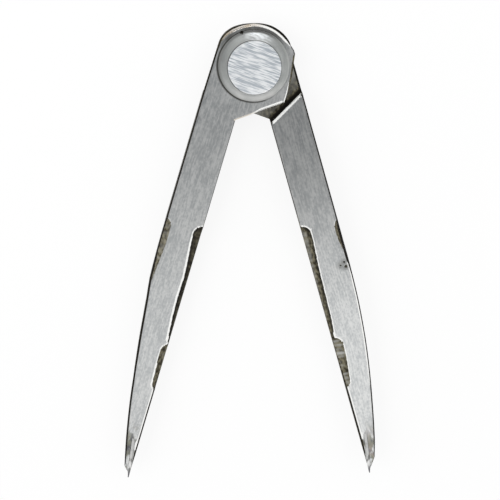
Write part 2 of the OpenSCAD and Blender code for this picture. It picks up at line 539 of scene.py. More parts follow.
    def _skin(
        self, graph: Graph, spot: LegSpot, forged: Value, shade: Value
    ) -> bpy.types.NodeSocket:
        """The colour of the forged skin.

        Args:
            graph: The material's graph.
            spot: The place on the leg.
            forged: The painted mask, 1 for the lumpy skin of hollows and 2 for that of the sides.
            shade: The painted mask, above 0 for darker skin and painted shade, below 0 for greyer
                skin.

        Returns:
            The colour.
        """
        lumpy = graph.blend(spot.lumps.rise(0.32, 0.72), self.scale_dark, self.scale_pale)
        flow = graph.grain(spot.place, self.flow_grain, 4.0) * 0.6 + spot.lumps * 0.4
        even = graph.blend(flow.rise(0.30, 0.70), self.side_dark, self.side_pale)
        skin = graph.blend(forged.rise(1.0, 2.0), lumpy, even)
        skin = graph.blend((0.0 - shade).rise(0.0, 1.0), skin, self.scale_grey)
        # positive shade goes towards black: dark skin, and painted shade
        return graph.blend(shade.rise(0.0, 1.0), skin, self.black_and_shade)

    def sockets(self, graph: Graph) -> dict[str, Any]:
        """What goes into the shader's sockets.

        Args:
            graph: The material's graph.

        Returns:
            A number or a link for each socket, by its name.
        """
        spot = self._spot(graph)
        strokes, clouds, speckle = (n - 0.5 for n in (spot.strokes, spot.clouds, spot.speckle))
        tone = (0.5 + strokes * 2.3 + clouds * 1.2 + speckle * 2.0).rise(-0.1, 1.1)
        # painted shade: the ground steel darkens from the tip towards the head
        colour = graph.blend(
            (0.0 - spot.y).rise(*self.tone_run),
            self._ground(graph, tone, self.shaded_head_tone),
            self._ground(graph, tone, self.low_tone),
        )
        shade = graph.painted("shade")
        colour = graph.blend(shade.rise(0.0, 1.0) * 0.6, colour, self.smudge)
        # painted shade round the washer: a shadow ring where it sits and a darker band over the
        # head
        colour = graph.blend(self._washer_shade_share(graph, spot), colour, self.washer_shade)
        heat = self._heat_share(graph, spot)
        tint = graph.ramp(graph.grain(spot.place, self.tint_grain, 2.0), self.tints)
        colour = graph.blend(heat * 0.9, colour, tint)
        # bright edges: wear, and partly a painted highlight
        edge = (graph.painted("worn_edge") + speckle * 0.3).rise(0.20, 0.65)
        colour = graph.blend(edge * (1 - heat * 0.5), colour, self._edge_colour(graph, spot))
        forged = graph.painted("forge_scale")
        scale = (forged + speckle * 0.6).rise(0.38, 0.60)
        colour = graph.blend(scale, colour, self._skin(graph, spot, forged, shade))

        ground_rough = 0.34 + strokes * 0.22 + clouds * 0.10 - edge * 0.08
        ground_height = spot.strokes * 0.30 + spot.speckle * 0.35
        return {
            "Base Color": colour,
            "Metallic": 1 - scale * 0.96 - heat * 0.03,
            "Roughness": ground_rough * (1 - scale) + scale * 0.60,
            "Specular IOR Level": 0.15,
            "Normal": graph.relief(
                (1 - scale) * ground_height + scale * spot.lumps * 1.6, self.relief_height
            ),
        }


@dataclass(frozen=True)
class HardPoint(Finish):
    """Hard steel strip, ground bright on its faces and tinted by the brazing heat.

    A run gives two distances from the needle's end between which something sets in.
    """

    bright: Colour = (0.76, 0.76, 0.75)
    dimmer: Colour = (0.57, 0.57, 0.56)
    tinted: Colour = (0.19, 0.19, 0.18)
    needle: Colour = (0.15, 0.15, 0.16)
    tip: Plan = (-0.00065, -0.150)
    slope: float = 8.5
    stroke_grain: Grain = (2600.0, 160.0, 2600.0)
    patch_grain: Grain = (520.0, 300.0, 520.0)
    needle_run: Plan = (0.0010, 0.0038)
    dull_run: Plan = (0.004, 0.008)
    strip_run: Plan = (0.006, 0.011)
    relief_height: float = 0.000012

    def sockets(self, graph: Graph) -> dict[str, Any]:
        """What goes into the shader's sockets.

        Args:
            graph: The material's graph.

        Returns:
            A number or a link for each socket, by its name.
        """
        spot = graph.leg_place()
        place = graph.turned(spot, -self.slope)
        strokes = graph.grain(place, self.stroke_grain)
        patches = graph.grain(place, self.patch_grain).rise(0.50, 0.64)
        to_tip = graph.radius(spot, self.tip)
        worked = 1 - to_tip.rise(*self.strip_run)
        colour = graph.blend(to_tip.rise(*self.dull_run), self.bright, self.dimmer)
        colour = graph.blend(patches * (0.35 + worked * 0.55), colour, self.tinted)
        colour = graph.blend(1 - to_tip.rise(*self.needle_run), colour, self.needle)
        return {
            "Base Color": colour,
            "Metallic": 1.0,
            "Roughness": 0.28 + strokes * 0.12 + patches * 0.10,
            "Normal": graph.relief(strokes, self.relief_height),
        }


@dataclass(frozen=True)
class GroundRivet(Finish):
    """Rivet worked flat with a file in broad straight strokes."""

    low: Colour = (0.50, 0.54, 0.58)
    high: Colour = (0.94, 0.955, 0.965)
    stroke_angle: float = 19.0
    broad_grain: Grain = (120.0, 1500.0, 120.0)
    fine_grain: Grain = (230.0, 3300.0, 230.0)
    patch_grain: Grain = (210.0, 360.0, 210.0)
    relief_height: float = 0.00005

    def sockets(self, graph: Graph) -> dict[str, Any]:
        """What goes into the shader's sockets.

        Args:
            graph: The material's graph.

        Returns:
            A number or a link for each socket, by its name.
        """
        place = graph.turned(graph.piece_place(), self.stroke_angle)
        broad, fine, patch = (
            graph.grain(place, grain, 2.0) - 0.5
            for grain in (self.broad_grain, self.fine_grain, self.patch_grain)
        )
        stroke = 0.5 + broad * 1.1 + fine * 1.2 + patch * 0.5
        return {
            "Base Color": graph.blend(stroke.rise(0.28, 0.66), self.low, self.high),
            "Metallic": 1.0,
            "Roughness": 0.58 - stroke * 0.22,
            "Normal": graph.relief(stroke, self.relief_height),
        }


@dataclass(frozen=True)
class TurnedWasher(Finish):
    """Dull steel turned on a lathe, with darker rings in the tool's path. It has painted light on
    its lower part, painted shade at its upper left and round its rim, and a painted glint at the
    top.

    A run gives the two places, across or along the compass, between which something sets in.
    """

    dark: Colour = (0.375, 0.388, 0.380)
    pale: Colour = (0.520, 0.534, 0.520)
    # Dark colour of the painted shade at the upper left and on the rim's bevel.
    rim: Colour = (0.230, 0.234, 0.228)
    # Paler colour of the lower part: painted light.
    side_light: Colour = (0.60, 0.597, 0.585)
    # Colour of the bright patch at the top: filing scuffs with a painted glint.
    filed_and_glint: Colour = (0.92, 0.94, 0.945)
    washer_shade: Colour = (0.020, 0.018, 0.014)
    ring_grain: Grain = (2600.0, 1.0, 1.0)
    cloud_grain: Grain = (260.0, 260.0, 260.0)
    speck_grain: Grain = (2600.0, 2600.0, 2600.0)
    scuff_grain: Grain = (420.0, 1700.0, 420.0)
    scuff_angle: float = 19.0
    glint_at: Plan = (0.0019, 0.0110)
    glint_reach: Plan = (0.0016, 0.0062)
    front_run: Plan = (0.006, 0.007)
    lower_light_run: Plan = (-0.0115, -0.003)
    shade_across: Plan = (-0.011, -0.004)
    shade_along: Plan = (-0.008, 0.0)
    bevel_along: Plan = (-0.010, -0.002)
    bevel_across: Plan = (0.004, 0.010)
    rim_shade_along: Plan = (0.002, 0.008)
    rim_shade_across: Plan = (-0.008, 0.0)
    relief_height: float = 0.000018

    def sockets(self, graph: Graph) -> dict[str, Any]:
        """What goes into the shader's sockets.

        Args:
            graph: The material's graph.

        Returns:
            A number or a link for each socket, by its name.
        """
        place = graph.piece_place()
        across, along, up = graph.axes(place)
        reach = graph.node("ShaderNodeCombineXYZ", None, {0: graph.radius(place)})
        rings = graph.grain(reach.outputs[0], self.ring_grain)
        clouds = graph.grain(place, self.cloud_grain)
        specks = graph.grain(place, self.speck_grain, 2.0)
        tone = 0.5 + (rings - 0.5) * 0.9 + (clouds - 0.5) * 0.9 + (specks - 0.5) * 0.4
        colour = graph.blend(tone.rise(0.05, 0.95), self.dark, self.pale)
        # painted light: the lower part is paler
        side_light = (1 - along.rise(*self.lower_light_run)) * (0.4 + clouds.rise(0.3, 0.6) * 0.6)
        colour = graph.blend(side_light * 0.75, colour, self.side_light)
        # painted shade: darker at the upper left
        dimmer = (1 - across.rise(*self.shade_across)) * along.rise(*self.shade_along)
        colour = graph.blend(dimmer * 0.3, colour, self.rim)
        scuffs = graph.grain(graph.turned(place, self.scuff_angle), self.scuff_grain)
        # a painted glint over filing scuffs at the top of the front washer
        filed_and_glint = 1 - graph.radius(place, self.glint_at).rise(*self.glint_reach)
        filed_and_glint = filed_and_glint * (0.25 + scuffs.rise(0.34, 0.60) * 0.75)
        colour = graph.blend(filed_and_glint * up.rise(*self.front_run), colour, self.filed_and_glint)
        # painted shade on the rim's bevel, strongest over the top
        bevel = graph.painted("worn_edge") * (0.3 + along.rise(*self.bevel_along) * 0.7)
        bevel = bevel * (1 - across.rise(*self.bevel_across) * 0.8)
        colour = graph.blend(bevel, colour, self.rim)
        # painted shadow along the rim at the top
        rim_shade = bevel * along.rise(*self.rim_shade_along) * across.rise(*self.rim_shade_across)
        colour = graph.blend(rim_shade * 0.5, colour, self.washer_shade)
        return {
            # black in the punch mark and in the groove round the rivet: painted shade in those
            # dents
            "Base Color": graph.blend(graph.painted("forge_scale"), colour, self.washer_shade),
            "Metallic": 1.0,
            "Roughness": 0.40 + (clouds - 0.5) * 0.15,
            "Normal": graph.relief(rings * 0.7 + specks * 0.3, self.relief_height),
        }


@dataclass(frozen=True)
class RolledSheet(Finish):
    """Thin rolled sheet metal of one colour, with rolling lines and tarnish."""

    metal: Colour = (0.72, 0.55, 0.28)
    tarnish: Colour = (0.36, 0.25, 0.12)
    rough: float = 0.38
    line_grain: Grain = (180.0, 2900.0, 180.0)
    stain_grain: Grain = (330.0, 330.0, 330.0)
    relief_height: float = 0.00001

    def sockets(self, graph: Graph) -> dict[str, Any]:
        """What goes into the shader's sockets.

        Args:
            graph: The material's graph.

        Returns:
            A number or a link for each socket, by its name.
        """
        place = graph.piece_place()
        lines = graph.grain(place, self.line_grain)
        stains = graph.grain(place, self.stain_grain, 4.0)
        return {
            "Base Color": graph.blend(stains.rise(0.42, 0.72), self.metal, self.tarnish),
            "Metallic": 1.0,
            "Roughness": self.rough + (lines - 0.5) * 0.2,
            "Normal": graph.relief(lines, self.relief_height),
        }


@dataclass(frozen=True)
class PaleFloor(Finish):
    """A floor that looks white and keeps a faint shadow."""

    matt: Colour = (0.9, 0.9, 0.9)
    white_share: float = 0.86

    def shader(self, graph: Graph) -> bpy.types.Node:
        """Adds a matt shader, with white over it for the rays that see the floor.

        Args:
            graph: The material's graph.

        Returns:
            The mixed shader.
        """
        matt = graph.node("ShaderNodeBsdfDiffuse", None, {"Color": (*self.matt, 1)})
        white = graph.node("ShaderNodeEmission", None, {"Color": (1, 1, 1, 1)})
        share = graph.seen_directly() * self.white_share
        return graph.node(
            "ShaderNodeMixShader", None, {0: share, 1: matt.outputs[0], 2: white.outputs[0]}
        )


@dataclass(frozen=True)
class GreyFlag(Finish):
    """A card of one even grey."""

    grey: Colour = (0.27, 0.28, 0.29)

    def shader(self, graph: Graph) -> bpy.types.Node:
        """Adds the even grey."""
        return graph.node("ShaderNodeEmission", None, {"Color": (*self.grey, 1)})


class Rim(Enum):
    """The kinds of edge round a leg."""

    LAP = "lower edge of the lap"
    SIDE = "free side of the lap"
    HEAD = "round head"
    OUTER = "outer edge"
    BEVEL = "bevel at the end"
    SLOT = "slot of the point"
    INNER = "inner edge"
    SHOULDER = "shoulder"


@dataclass(frozen=True)
class Station:
    """A place on the edge of a leg's face."""

    place: Plan
    rim: Rim


@dataclass(frozen=True)
class Dot:
    """A place of a face before it has its height: its drop, wear, forged skin and shade."""

    place: Plan
    drop: float = 0.0
    worn: float = 0.0
    scale: float = 0.0
    shade: float = 0.0


@dataclass(frozen=True)
class Hollow:
    """A forged hollow along one edge: its run from the pivot and its width on the way.

    The rounds are those of its two ends. Ribs are left by the hammer across it. The lip is a
    bright slope inside its border, and the crest the round between face and hollow. Shine is how
    bright the crest is worn, partly a painted highlight. Shade is how dark the floor is, partly
    the skin's colour and partly painted shade; corner is how much darker it is near its border, as
    painted shade under the crest.
    """

    on_outer: bool
    start: float
    stop: float
    widths: tuple[Plan, ...]
    start_round: float = 0.0024
    stop_round: float = 0.0016
    ribs: float = 0.00005
    lip: float = 0.0
    shine: float = 1.0
    shade: float = 0.3
    corner: float = 0.3
    corner_wide: float = 0.0011
    slope: float = 0.72
    crest: float = 0.00028
    worn_run: Plan = (-0.45 * MM, -0.25 * MM)
    skin_run: Plan = (-0.04 * MM, 0.16 * MM)
    border_from: float = 0.2 * MM
    curl: float = 70.0
    roughness: float = 0.035 * MM
    rib_shade: float = 8000.0

    def width(self, along: float) -> float:
        """Width of the hollow at a distance from the pivot."""
        return float(np.interp(along, *zip(*self.widths)))

    def reach(self, along: float, across: float) -> float:
        """How far a place lies inside the hollow's border.

        Args:
            along: Distance from the pivot.
            across: Distance from the edge.

        Returns:
            Metres inside the border; below 0 outside it.
        """
        depth = self.width(along) - across
        found = depth
        for end, corner in (
            (along - self.start, self.start_round),
            (self.stop - along, self.stop_round),
        ):
            if end < corner and depth < corner:
                inside = corner - math.hypot(corner - end, corner - depth)
            else:
                inside = min(end, depth)
            found = min(found, inside)
        return found

    def surface(self, along: float, across: float) -> tuple[float, float, float, float]:
        """How far the hollow lies below the ground face, and what its skin is like.

        Args:
            along: Distance from the pivot.
            across: Distance from the edge.

        Returns:
            The drop in metres, how much forged skin shows, how worn the crest is and how dark
            the skin is.
        """
        reach = self.reach(along, across)
        lip = self.lip * ease(along - self.start, 0.002, 0.010)
        crest = self.crest + 0.5 * lip
        worn = ease(reach, *self.worn_run) * (1 - ease(reach, lip, lip + self.skin_run[1]))
        if reach <= -crest:
            return 0.0, 0.0, worn * self.shine, 0.0
        bare = ease(reach, *(lip + off for off in self.skin_run))
        inside = (reach + crest) ** 2 / (4 * crest) if reach < crest else reach
        spot = Vector((across, along, 0.3 * MM))
        rough = self.roughness * (noise.noise(spot * 1100) + 0.6 * noise.noise(spot * 2700))
        rib = self.ribs * noise.noise(Vector((along * 900, across * 150, 4.0)))
        drop = self.slope * inside * (1 - self.curl * inside) + bare * (rough + rib)
        # painted shade under the crest, darkest near the border
        border = self.corner * (1 - ease(reach - lip, self.border_from, self.corner_wide))
        return drop, bare, worn * self.shine, self.shade + border + self.rib_shade * rib


@dataclass(frozen=True)
class Chamfer:
    """A broken edge: a dark forged round at the very edge, partly painted shade, then a bright
    worn slope, partly a painted highlight.
    """

    dark: float
    bright: float
    depth: float
    shade: float = 0.95

    def rows(self) -> list[tuple[float, float, float, float]]:
        """Rows of places inside the edge that give it its shape.

        Returns:
            For each row its distance from the edge, drop, wear and forged skin.
        """
        dark, wide = self.dark, self.dark + self.bright
        if wide < HAIR:
            return []
        if dark < HAIR:
            steps = ((0.33, 0.64, 1.0, 0.0), (0.67, 0.29, 1.0, 0.0), (1.0, 0.03, 0.75, 0.0))
            rows = [(s * wide, d * self.depth, w, k) for s, d, w, k in steps]
        elif self.bright < HAIR:
            steps = ((0.5, 0.60, 0.0, 1.0), (0.85, 0.20, 0.0, 1.0), (1.0, 0.04, 0.0, 0.3))
            rows = [(s * dark, d * self.depth, w, k) for s, d, w, k in steps]
            return [*rows, (dark + 0.08 * MM, 0.0, 0.0, 0.0)]
        else:
            middle = dark + 0.5 * self.bright
            rows = [
                (0.55 * dark, 0.66 * self.depth, 0.0, 1.0),
                (dark, 0.46 * self.depth, 0.8, 0.1),
                (middle, 0.23 * self.depth, 1.0, 0.0),
                (wide, 0.01 * self.depth, 0.85, 0.0),
            ]
        return [*rows, (wide + max(0.12 * MM, 0.35 * self.bright), 0.0, 0.0, 0.0)]

    def reach(self) -> float:
        """Distance from the edge of its last row."""
        rows = self.rows()
        return rows[-1][0] if rows else 0.0


@dataclass
class Draft:
    """Vertices, faces and painted masks of a mesh under construction.

    The mask for forged skin is 1 for the lumpy skin of hollows and 2 for that of the sides. The
    mask for shade is above 0 for darker skin and painted shade, and below 0 for greyer skin.
    """

    places: list[Vector] = field(default_factory=list)
    faces: list[tuple[int, ...]] = field(default_factory=list)
    worn: list[float] = field(default_factory=list)
    scale: list[float] = field(default_factory=list)
    shade: list[float] = field(default_factory=list)

    def point(
        self, place: Sequence[float], worn: float = 0.0, scale: float = 0.0, shade: float = 0.0
    ) -> int:
        """Adds a vertex.

        Args:
            place: Where it is.
            worn: How much it is worn bright.
            scale: How much forged skin it has.
            shade: How dark that skin is.

        Returns:
            The vertex's number.
        """
        self.places.append(Vector(place))
        self.worn.append(worn)
        self.scale.append(scale)
        self.shade.append(shade)
        return len(self.places) - 1

    def strip(self, lower: Sequence[int], upper: Sequence[int]) -> None:
        """Joins two rows of vertices of the same length by four-sided faces.

        Args:
            lower: The first row.
            upper: The second row, to the left of the first row's way as seen from outside.
        """
        for i in range(len(lower) - 1):
            self.faces.append((lower[i], lower[i + 1], upper[i + 1], upper[i]))

    def piece(self, name: str, placing: Matrix, finish: Finish, sharp: float) -> bpy.types.Object:
        """Makes the object.

        Args:
            name: The piece's name.
            placing: From the draft's frame to the compass's frame.
            finish: Its finish.
            sharp: Angle in degrees above which an edge shows as an edge.

        Returns:
            The object, in the scene.
        """
        mesh = bpy.data.meshes.new(name)
        mesh.from_pydata([placing @ p for p in self.places], [], self.faces)
        mesh.validate()
        masks = (("worn_edge", self.worn), ("forge_scale", self.scale), ("shade", self.shade))
        for mask, values in masks:
            layer = mesh.attributes.new(mask, "FLOAT", "POINT")
            layer.data.foreach_set("value", values)
        layer = mesh.attributes.new("leg_place", "FLOAT_VECTOR", "POINT")
        layer.data.foreach_set("vector", [c for p in self.places for c in p])
        mesh.polygons.foreach_set("use_smooth", [True] * len(mesh.polygons))
        mesh.set_sharp_from_angle(angle=math.radians(sharp))
        mesh.materials.append(finish.material())
        made = bpy.data.objects.new(name, mesh)
        bpy.context.scene.collection.objects.link(made)
        return made


def within(places: np.ndarray, loop: np.ndarray) -> np.ndarray:
    """Tells which places lie inside a closed outline.

    Args:
        places: Places in the plane, one to a row.
        loop: The outline's corners, one to a row.

    Returns:
        True for each place inside.
    """
    ahead = np.roll(loop, -1, axis=0)
    found = np.zeros(len(places), bool)
    for (ax, ay), (bx, by) in zip(loop, ahead):
        if ay == by:
            continue
        crosses = (ay > places[:, 1]) != (by > places[:, 1])
        found ^= crosses & (places[:, 0] < ax + (places[:, 1] - ay) * (bx - ax) / (by - ay))
    return found


def clearance(places: np.ndarray, loop: np.ndarray) -> np.ndarray:
    """Distance of places from a closed outline.

    Args:
        places: Places in the plane, one to a row.
        loop: The outline's corners, one to a row.

    Returns:
        The distance of each place.
    """
    nearest = np.full(len(places), np.inf)
    for start, stop in zip(loop, np.roll(loop, -1, axis=0)):
        run = stop - start
        share = np.clip(((places - start) @ run) / max(run @ run, 1e-18), 0, 1)
        away = places - start - share[:, None] * run
        nearest = np.minimum(nearest, np.hypot(away[:, 0], away[:, 1]))
    return nearest


@dataclass
class Leg:
    """One leg: a ground forging with a half lap at its head and a slot for its point.

    In its own frame the pivot is the origin, the leg runs towards -Y, its body lies on the -X
    side and its lap in front, towards +Z. The rear leg is the same forging turned over.

    The bend moves the outer edge sideways at distances from the pivot, and the trim moves the
    head's edge at angles in degrees. The outer dark is a width in millimetres and the run where
    it widens the edge's dark line; the other dark widths and the shine are in millimetres too.
    A pit or the stake is its X, its distance from the pivot and its radius. A run, rise, fall or
    band gives two places, or two of the head's angles in degrees, between which something sets
    in or ends.
    """

    name: str
    body: str
    turned_over: bool
    hollows: tuple[Hollow, ...]
    length: float = 0.150
    outer_bend: tuple[Plan, ...] = ((0.0, 0.0),)
    outer_shine: float = 0.0
    outer_dark: Place = (0.0, 0.05, 0.06)  # width in millimetres, start and stop
    low_dark: float = 0.0
    lap_dark: float = 0.0
    inner_dark: float = 0.0
    pits: tuple[Place, ...] = ()
    stake: Place | None = None
    bore_r: float = 0.00505
    pocket_r: float | None = None
    pocket_depth: float = 0.00070
    width: float = 0.0136
    head_over: float = 0.00095
    head_trim: tuple[Plan, ...] = ((0.0, 0.0),)
    side_slope: float = math.radians(9.0)
    head_stop: float = math.radians(174.0)
    head_flare: float = 0.0
    head_in: float = 0.0
    corner_power: float = 50.0
    half_thick: float = 0.003
    straight: float = 0.0615
    taper_r: float = 0.34687
    thin_from: float = 0.052
    thinning: float = 0.011364
    edge_x: float = -0.0006
    end_bevel: float = 0.0048
    face_bevel: float = 0.010
    tip_half: float = 0.00012
    lap_len: float = 0.019
    lap_corner: float = 0.00868
    lap_inner_z: float = 0.00022
    shoulder_dist: float = 0.0178
    shoulder_slope: float = math.radians(29.5)
    slot_half: float = 0.00059
    slot_len: float = 0.01464
    slot_slope: float = math.radians(8.5)
    slot_x: float = -0.00065
    needle_x: float = -0.00108
    needle_len: float = 0.0021
    flare_run: Plan = (4.0, 16.0)
    crown_rise: Plan = (42.0, 56.0)
    crown_fall: Plan = (132.0, 164.0)
    left_rise: Plan = (114.0, 134.0)
    left_fall: Plan = (160.0, 174.0)
    clean_rise: Plan = (44.0, 54.0)
    clean_fall: Plan = (104.0, 118.0)
    lap_free_run: Plan = (0.004, 0.0075)
    side_free_run: Plan = (-0.006, 0.0)
    shine_rise: Plan = (0.070, 0.082)
    shine_fall: Plan = (0.106, 0.122)
    lap_dark_run: Plan = (0.011, 0.016)
    inner_shade_run: Plan = (0.050, 0.058)
    low_run: Plan = (0.095, 0.120)
    tip_run: float = 0.012
    # Runs of the lap floor's painted shadow from the shoulder, and of the painted shade at the
    # head's rim.
    shoulder_shade_run: Plan = (0.7 * MM, 1.8 * MM)
    shoulder_shade_fade: Plan = (3.8 * MM, 5.6 * MM)
    rim_band: Plan = (-0.6 * MM, 0.1 * MM)
    rim_rise: Plan = (0.0, 0.003)
    rim_fall: Plan = (-0.0090, -0.0060)
    pit_depth: float = 0.10 * MM
    pit_shade: float = 0.6
    pit_halo: Plan = (0.3 * MM, 2.2 * MM)
    stake_depth: float = 0.45 * MM
    stake_shade: float = 0.95
    wave: float = 0.012 * MM
    wave_run: float = 0.02
    sharp_angle: float = 33.0
    step: float = 0.0006
    mesh_pitch: float = 0.0012
    row_share: float = 0.866
    dot_cell: float = 0.16 * MM
    fine_room: float = 0.06 * MM
    coarse_room: float = 0.40 * MM
    hole_room: float = 0.3 * MM
    row_room: float = 0.72
    least_mitre: float = 0.45

    def placing(self) -> Matrix:
        """Places the leg as the photograph shows it.

        Returns:
            From the leg's frame to the compass's frame.
        """
        lift = Matrix.Translation((0, 0, MID_Z))
        if self.turned_over:
            return lift @ Matrix.Rotation(HALF_OPEN, 4, "Z") @ Matrix.Rotation(math.pi, 4, "Y")
        return lift @ Matrix.Rotation(-HALF_OPEN, 4, "Z")

    def outer_x(self, along: float) -> float:
        """Place of the outer edge.

        Args:
            along: Distance from the pivot.

        Returns:
            Its X.
        """
        run = max(0.0, along - self.straight)
        bend = float(np.interp(along, *zip(*self.outer_bend)))
        return self.taper_r - self.width - math.sqrt(self.taper_r**2 - run**2) + bend

    def head_reach(self, angle: float) -> float:
        """Distance of the round head's edge from the pivot.

        Args:
            angle: Direction from the pivot, in radians.

        Returns:
            The distance, with the corner at the leg's outer edge rounded off.
        """
        power = self.corner_power
        trim = float(np.interp(math.degrees(angle), *zip(*self.head_trim)))
        flare_run = (math.radians(a) for a in self.flare_run)
        flare = self.head_flare * ease(math.pi - angle, *flare_run)
        outer = (self.width + flare - self.head_in) / max(-math.cos(angle), 0.1)
        return ((self.width + self.head_over + trim) ** -power + outer**-power) ** (-1 / power)

    def _head_corner(self) -> Plan:
        """Finds where the lap's sloping free side meets the round head.

        Returns:
            The place.
        """
        slope = math.tan(self.side_slope)
        reach = self.width + self.head_over + self.head_trim[0][1]
        stretch = 1 + slope**2
        lean = self.width * slope
        y = (lean + math.sqrt(lean**2 - stretch * (self.width**2 - reach**2))) / stretch
        return (self.width - slope * y, y)

    def height(self, along: float) -> float:
        """Height of the ground face above the leg's middle.

        Args:
            along: Distance from the pivot.

        Returns:
            The height, which falls to the tip's in the bevel at the end.
        """
        bevel_from = self.length - self.face_bevel
        flat = self.half_thick - max(0.0, min(along, bevel_from) - self.thin_from) * self.thinning
        fall = (flat - self.tip_half) / self.face_bevel
        return flat - max(0.0, along - bevel_from) * fall

    def shoulder_y(self, across: float) -> float:
        """Place of the shoulder's line along the leg."""
        cos, sin = math.cos(self.shoulder_slope), math.sin(self.shoulder_slope)
        return (-self.shoulder_dist - across * sin) / cos

    def _slot_corner(self, side: float, up: float) -> Plan:
        """A place on the slot of the point.

        Args:
            side: Distance from the slot's middle.
            up: Distance from the point along the slot.

        Returns:
            The place in the leg's plane.
        """
        cos, sin = math.cos(self.slot_slope), math.sin(self.slot_slope)
        return (self.slot_x + side * cos - up * sin, -self.length + side * sin + up * cos)

    def _walk(self, start: Plan, stop: Plan, rim: Rim) -> Iterator[Station]:
        """Goes from one place straight up to, and not including, another.

        Args:
            start: The first place.
            stop: The place to stop before.
            rim: The kind of edge between them.

        Yields:
            The stations.
        """
        count = max(1, round(math.dist(start, stop) / self.step))
        for i in range(count):
            share = i / count
            place = tuple(a + (b - a) * share for a, b in zip(start, stop))
            yield Station(place, rim)

    def outline(self) -> tuple[list[Station], int, int]:
        """Goes round the face once, to the left, from the lap's lower edge.

        Returns:
            The stations, and the numbers of those where the shoulder meets the outer and the
            inner edge.
        """
        w, x_in = self.width, self.edge_x
        end = self.length - self.end_bevel
        outer_cut = (-w, self.shoulder_y(-w))
        inner_cut = (x_in, self.shoulder_y(x_in))
        lap_low, lap_high = (x_in, -self.lap_len), (w, -self.lap_corner)

        found = list(self._walk(lap_low, lap_high, Rim.LAP))
        corner = self._head_corner()
        found += self._walk(lap_high, (w, 0.0), Rim.SIDE)
        found += self._walk((w, 0.0), corner, Rim.SIDE)
        first = math.atan2(corner[1], corner[0])
        steps = round((self.head_stop - first) * w / self.step)
        for i in range(steps):
            angle = first + (self.head_stop - first) * i / steps
            reach = self.head_reach(angle)
            found.append(Station((reach * math.cos(angle), reach * math.sin(angle)), Rim.HEAD))
        head_end = (self.head_in - w, self.head_reach(self.head_stop) * math.sin(self.head_stop))
        found += self._walk(head_end, outer_cut, Rim.OUTER)
        outer_at = len(found)
        found += self._walk(outer_cut, (-w, -self.straight), Rim.OUTER)
        steps = round((end - self.straight) / self.step)
        for i in range(steps):
            along = self.straight + (end - self.straight) * i / steps
            found.append(Station((self.outer_x(along), -along), Rim.OUTER))
        heel, bevel_end = (self.outer_x(end), -end), self._bevel_meets_slot()
        found += self._walk(heel, bevel_end, Rim.BEVEL)
        slot_left = self._slot_corner(-self.slot_half, self.slot_len)
        slot_right = self._slot_corner(self.slot_half, self.slot_len)
        foot = self._slot_corner(self.slot_half, 0.0)
        rise = (foot[0] - x_in) / math.sin(self.slot_slope)
        slot_out = (x_in, foot[1] + rise * math.cos(self.slot_slope))
        found += self._walk(bevel_end, slot_left, Rim.SLOT)
        found += self._walk(slot_left, slot_right, Rim.SLOT)
        found += self._walk(slot_right, slot_out, Rim.SLOT)
        found += self._walk(slot_out, inner_cut, Rim.INNER)
        inner_at = len(found)
        found += self._walk(inner_cut, lap_low, Rim.INNER)
        return found, outer_at, inner_at

    def _bevel_meets_slot(self) -> Plan:
        """Finds where the bevel at the end runs into the slot.

        Returns:
            The place.
        """
        end = self.length - self.end_bevel
        root = Vector((self.needle_x, self.needle_len - self.length))
        bevel = Vector((self.outer_x(end), -end)) - root
        wall = Vector(self._slot_corner(-self.slot_half, 0.0))
        up = Vector((-math.sin(self.slot_slope), math.cos(self.slot_slope)))
        share = (wall - root).cross(up) / bevel.cross(up)
        return tuple(root + bevel * share)

    def chamfer(self, station: Station) -> Chamfer:
        """The broken edge at a station.

        Args:
            station: Where on the edge.

        Returns:
            The broken edge, which a slot has none of.
        """
        across, y = station.place
        if station.rim is Rim.HEAD:
            return self._head_chamfer(math.degrees(math.atan2(y, across)))
        if station.rim is Rim.LAP:
            free = ease(across, *self.lap_free_run)
            return Chamfer(0.0, (0.35 + 0.45 * free) * MM, (0.25 + 0.45 * free) * MM)
        if station.rim is Rim.SHOULDER:
            return Chamfer(0.0, 0.82 * MM, 0.7 * MM)
        if station.rim is Rim.SIDE:
            free = ease(y, *self.side_free_run)
            return Chamfer((0.08 + 0.56 * free) * MM, 0.30 * (1 - free) * MM, 0.28 * MM, 0.3)
        if station.rim is Rim.OUTER:
            return self._outer_chamfer(-y)
        if station.rim is Rim.INNER:
            return self._inner_chamfer(-y)
        if station.rim is Rim.BEVEL:
            return Chamfer(0.14 * MM, 0.0, 0.05 * MM)
        return Chamfer(0.0, 0.0, 0.0)

    def _head_chamfer(self, angle: float) -> Chamfer:
        """The broken edge of the round head: worn bright over the crown, partly a painted
        highlight, and dark on the left.

        Args:
            angle: Direction from the pivot, in degrees.

        Returns:
            The broken edge.
        """
        crown = ease(angle, *self.crown_rise) * (1 - ease(angle, *self.crown_fall))
        left = ease(angle, *self.left_rise) * (1 - 0.45 * ease(angle, *self.left_fall))
        clean = ease(angle, *self.clean_rise) * (1 - ease(angle, *self.clean_fall))
        dark = (0.28 + 0.38 * left) * (1 - clean)
        depth = 0.30 + 0.26 * crown
        return Chamfer(dark * MM, 0.66 * crown * MM, depth * MM, 0.95 - 0.27 * left)

    def _tip_share(self, along: float) -> float:
        """1 on most of the leg, falling to 0 at its tip."""
        return ease(self.length - along, 0.0, self.tip_run)

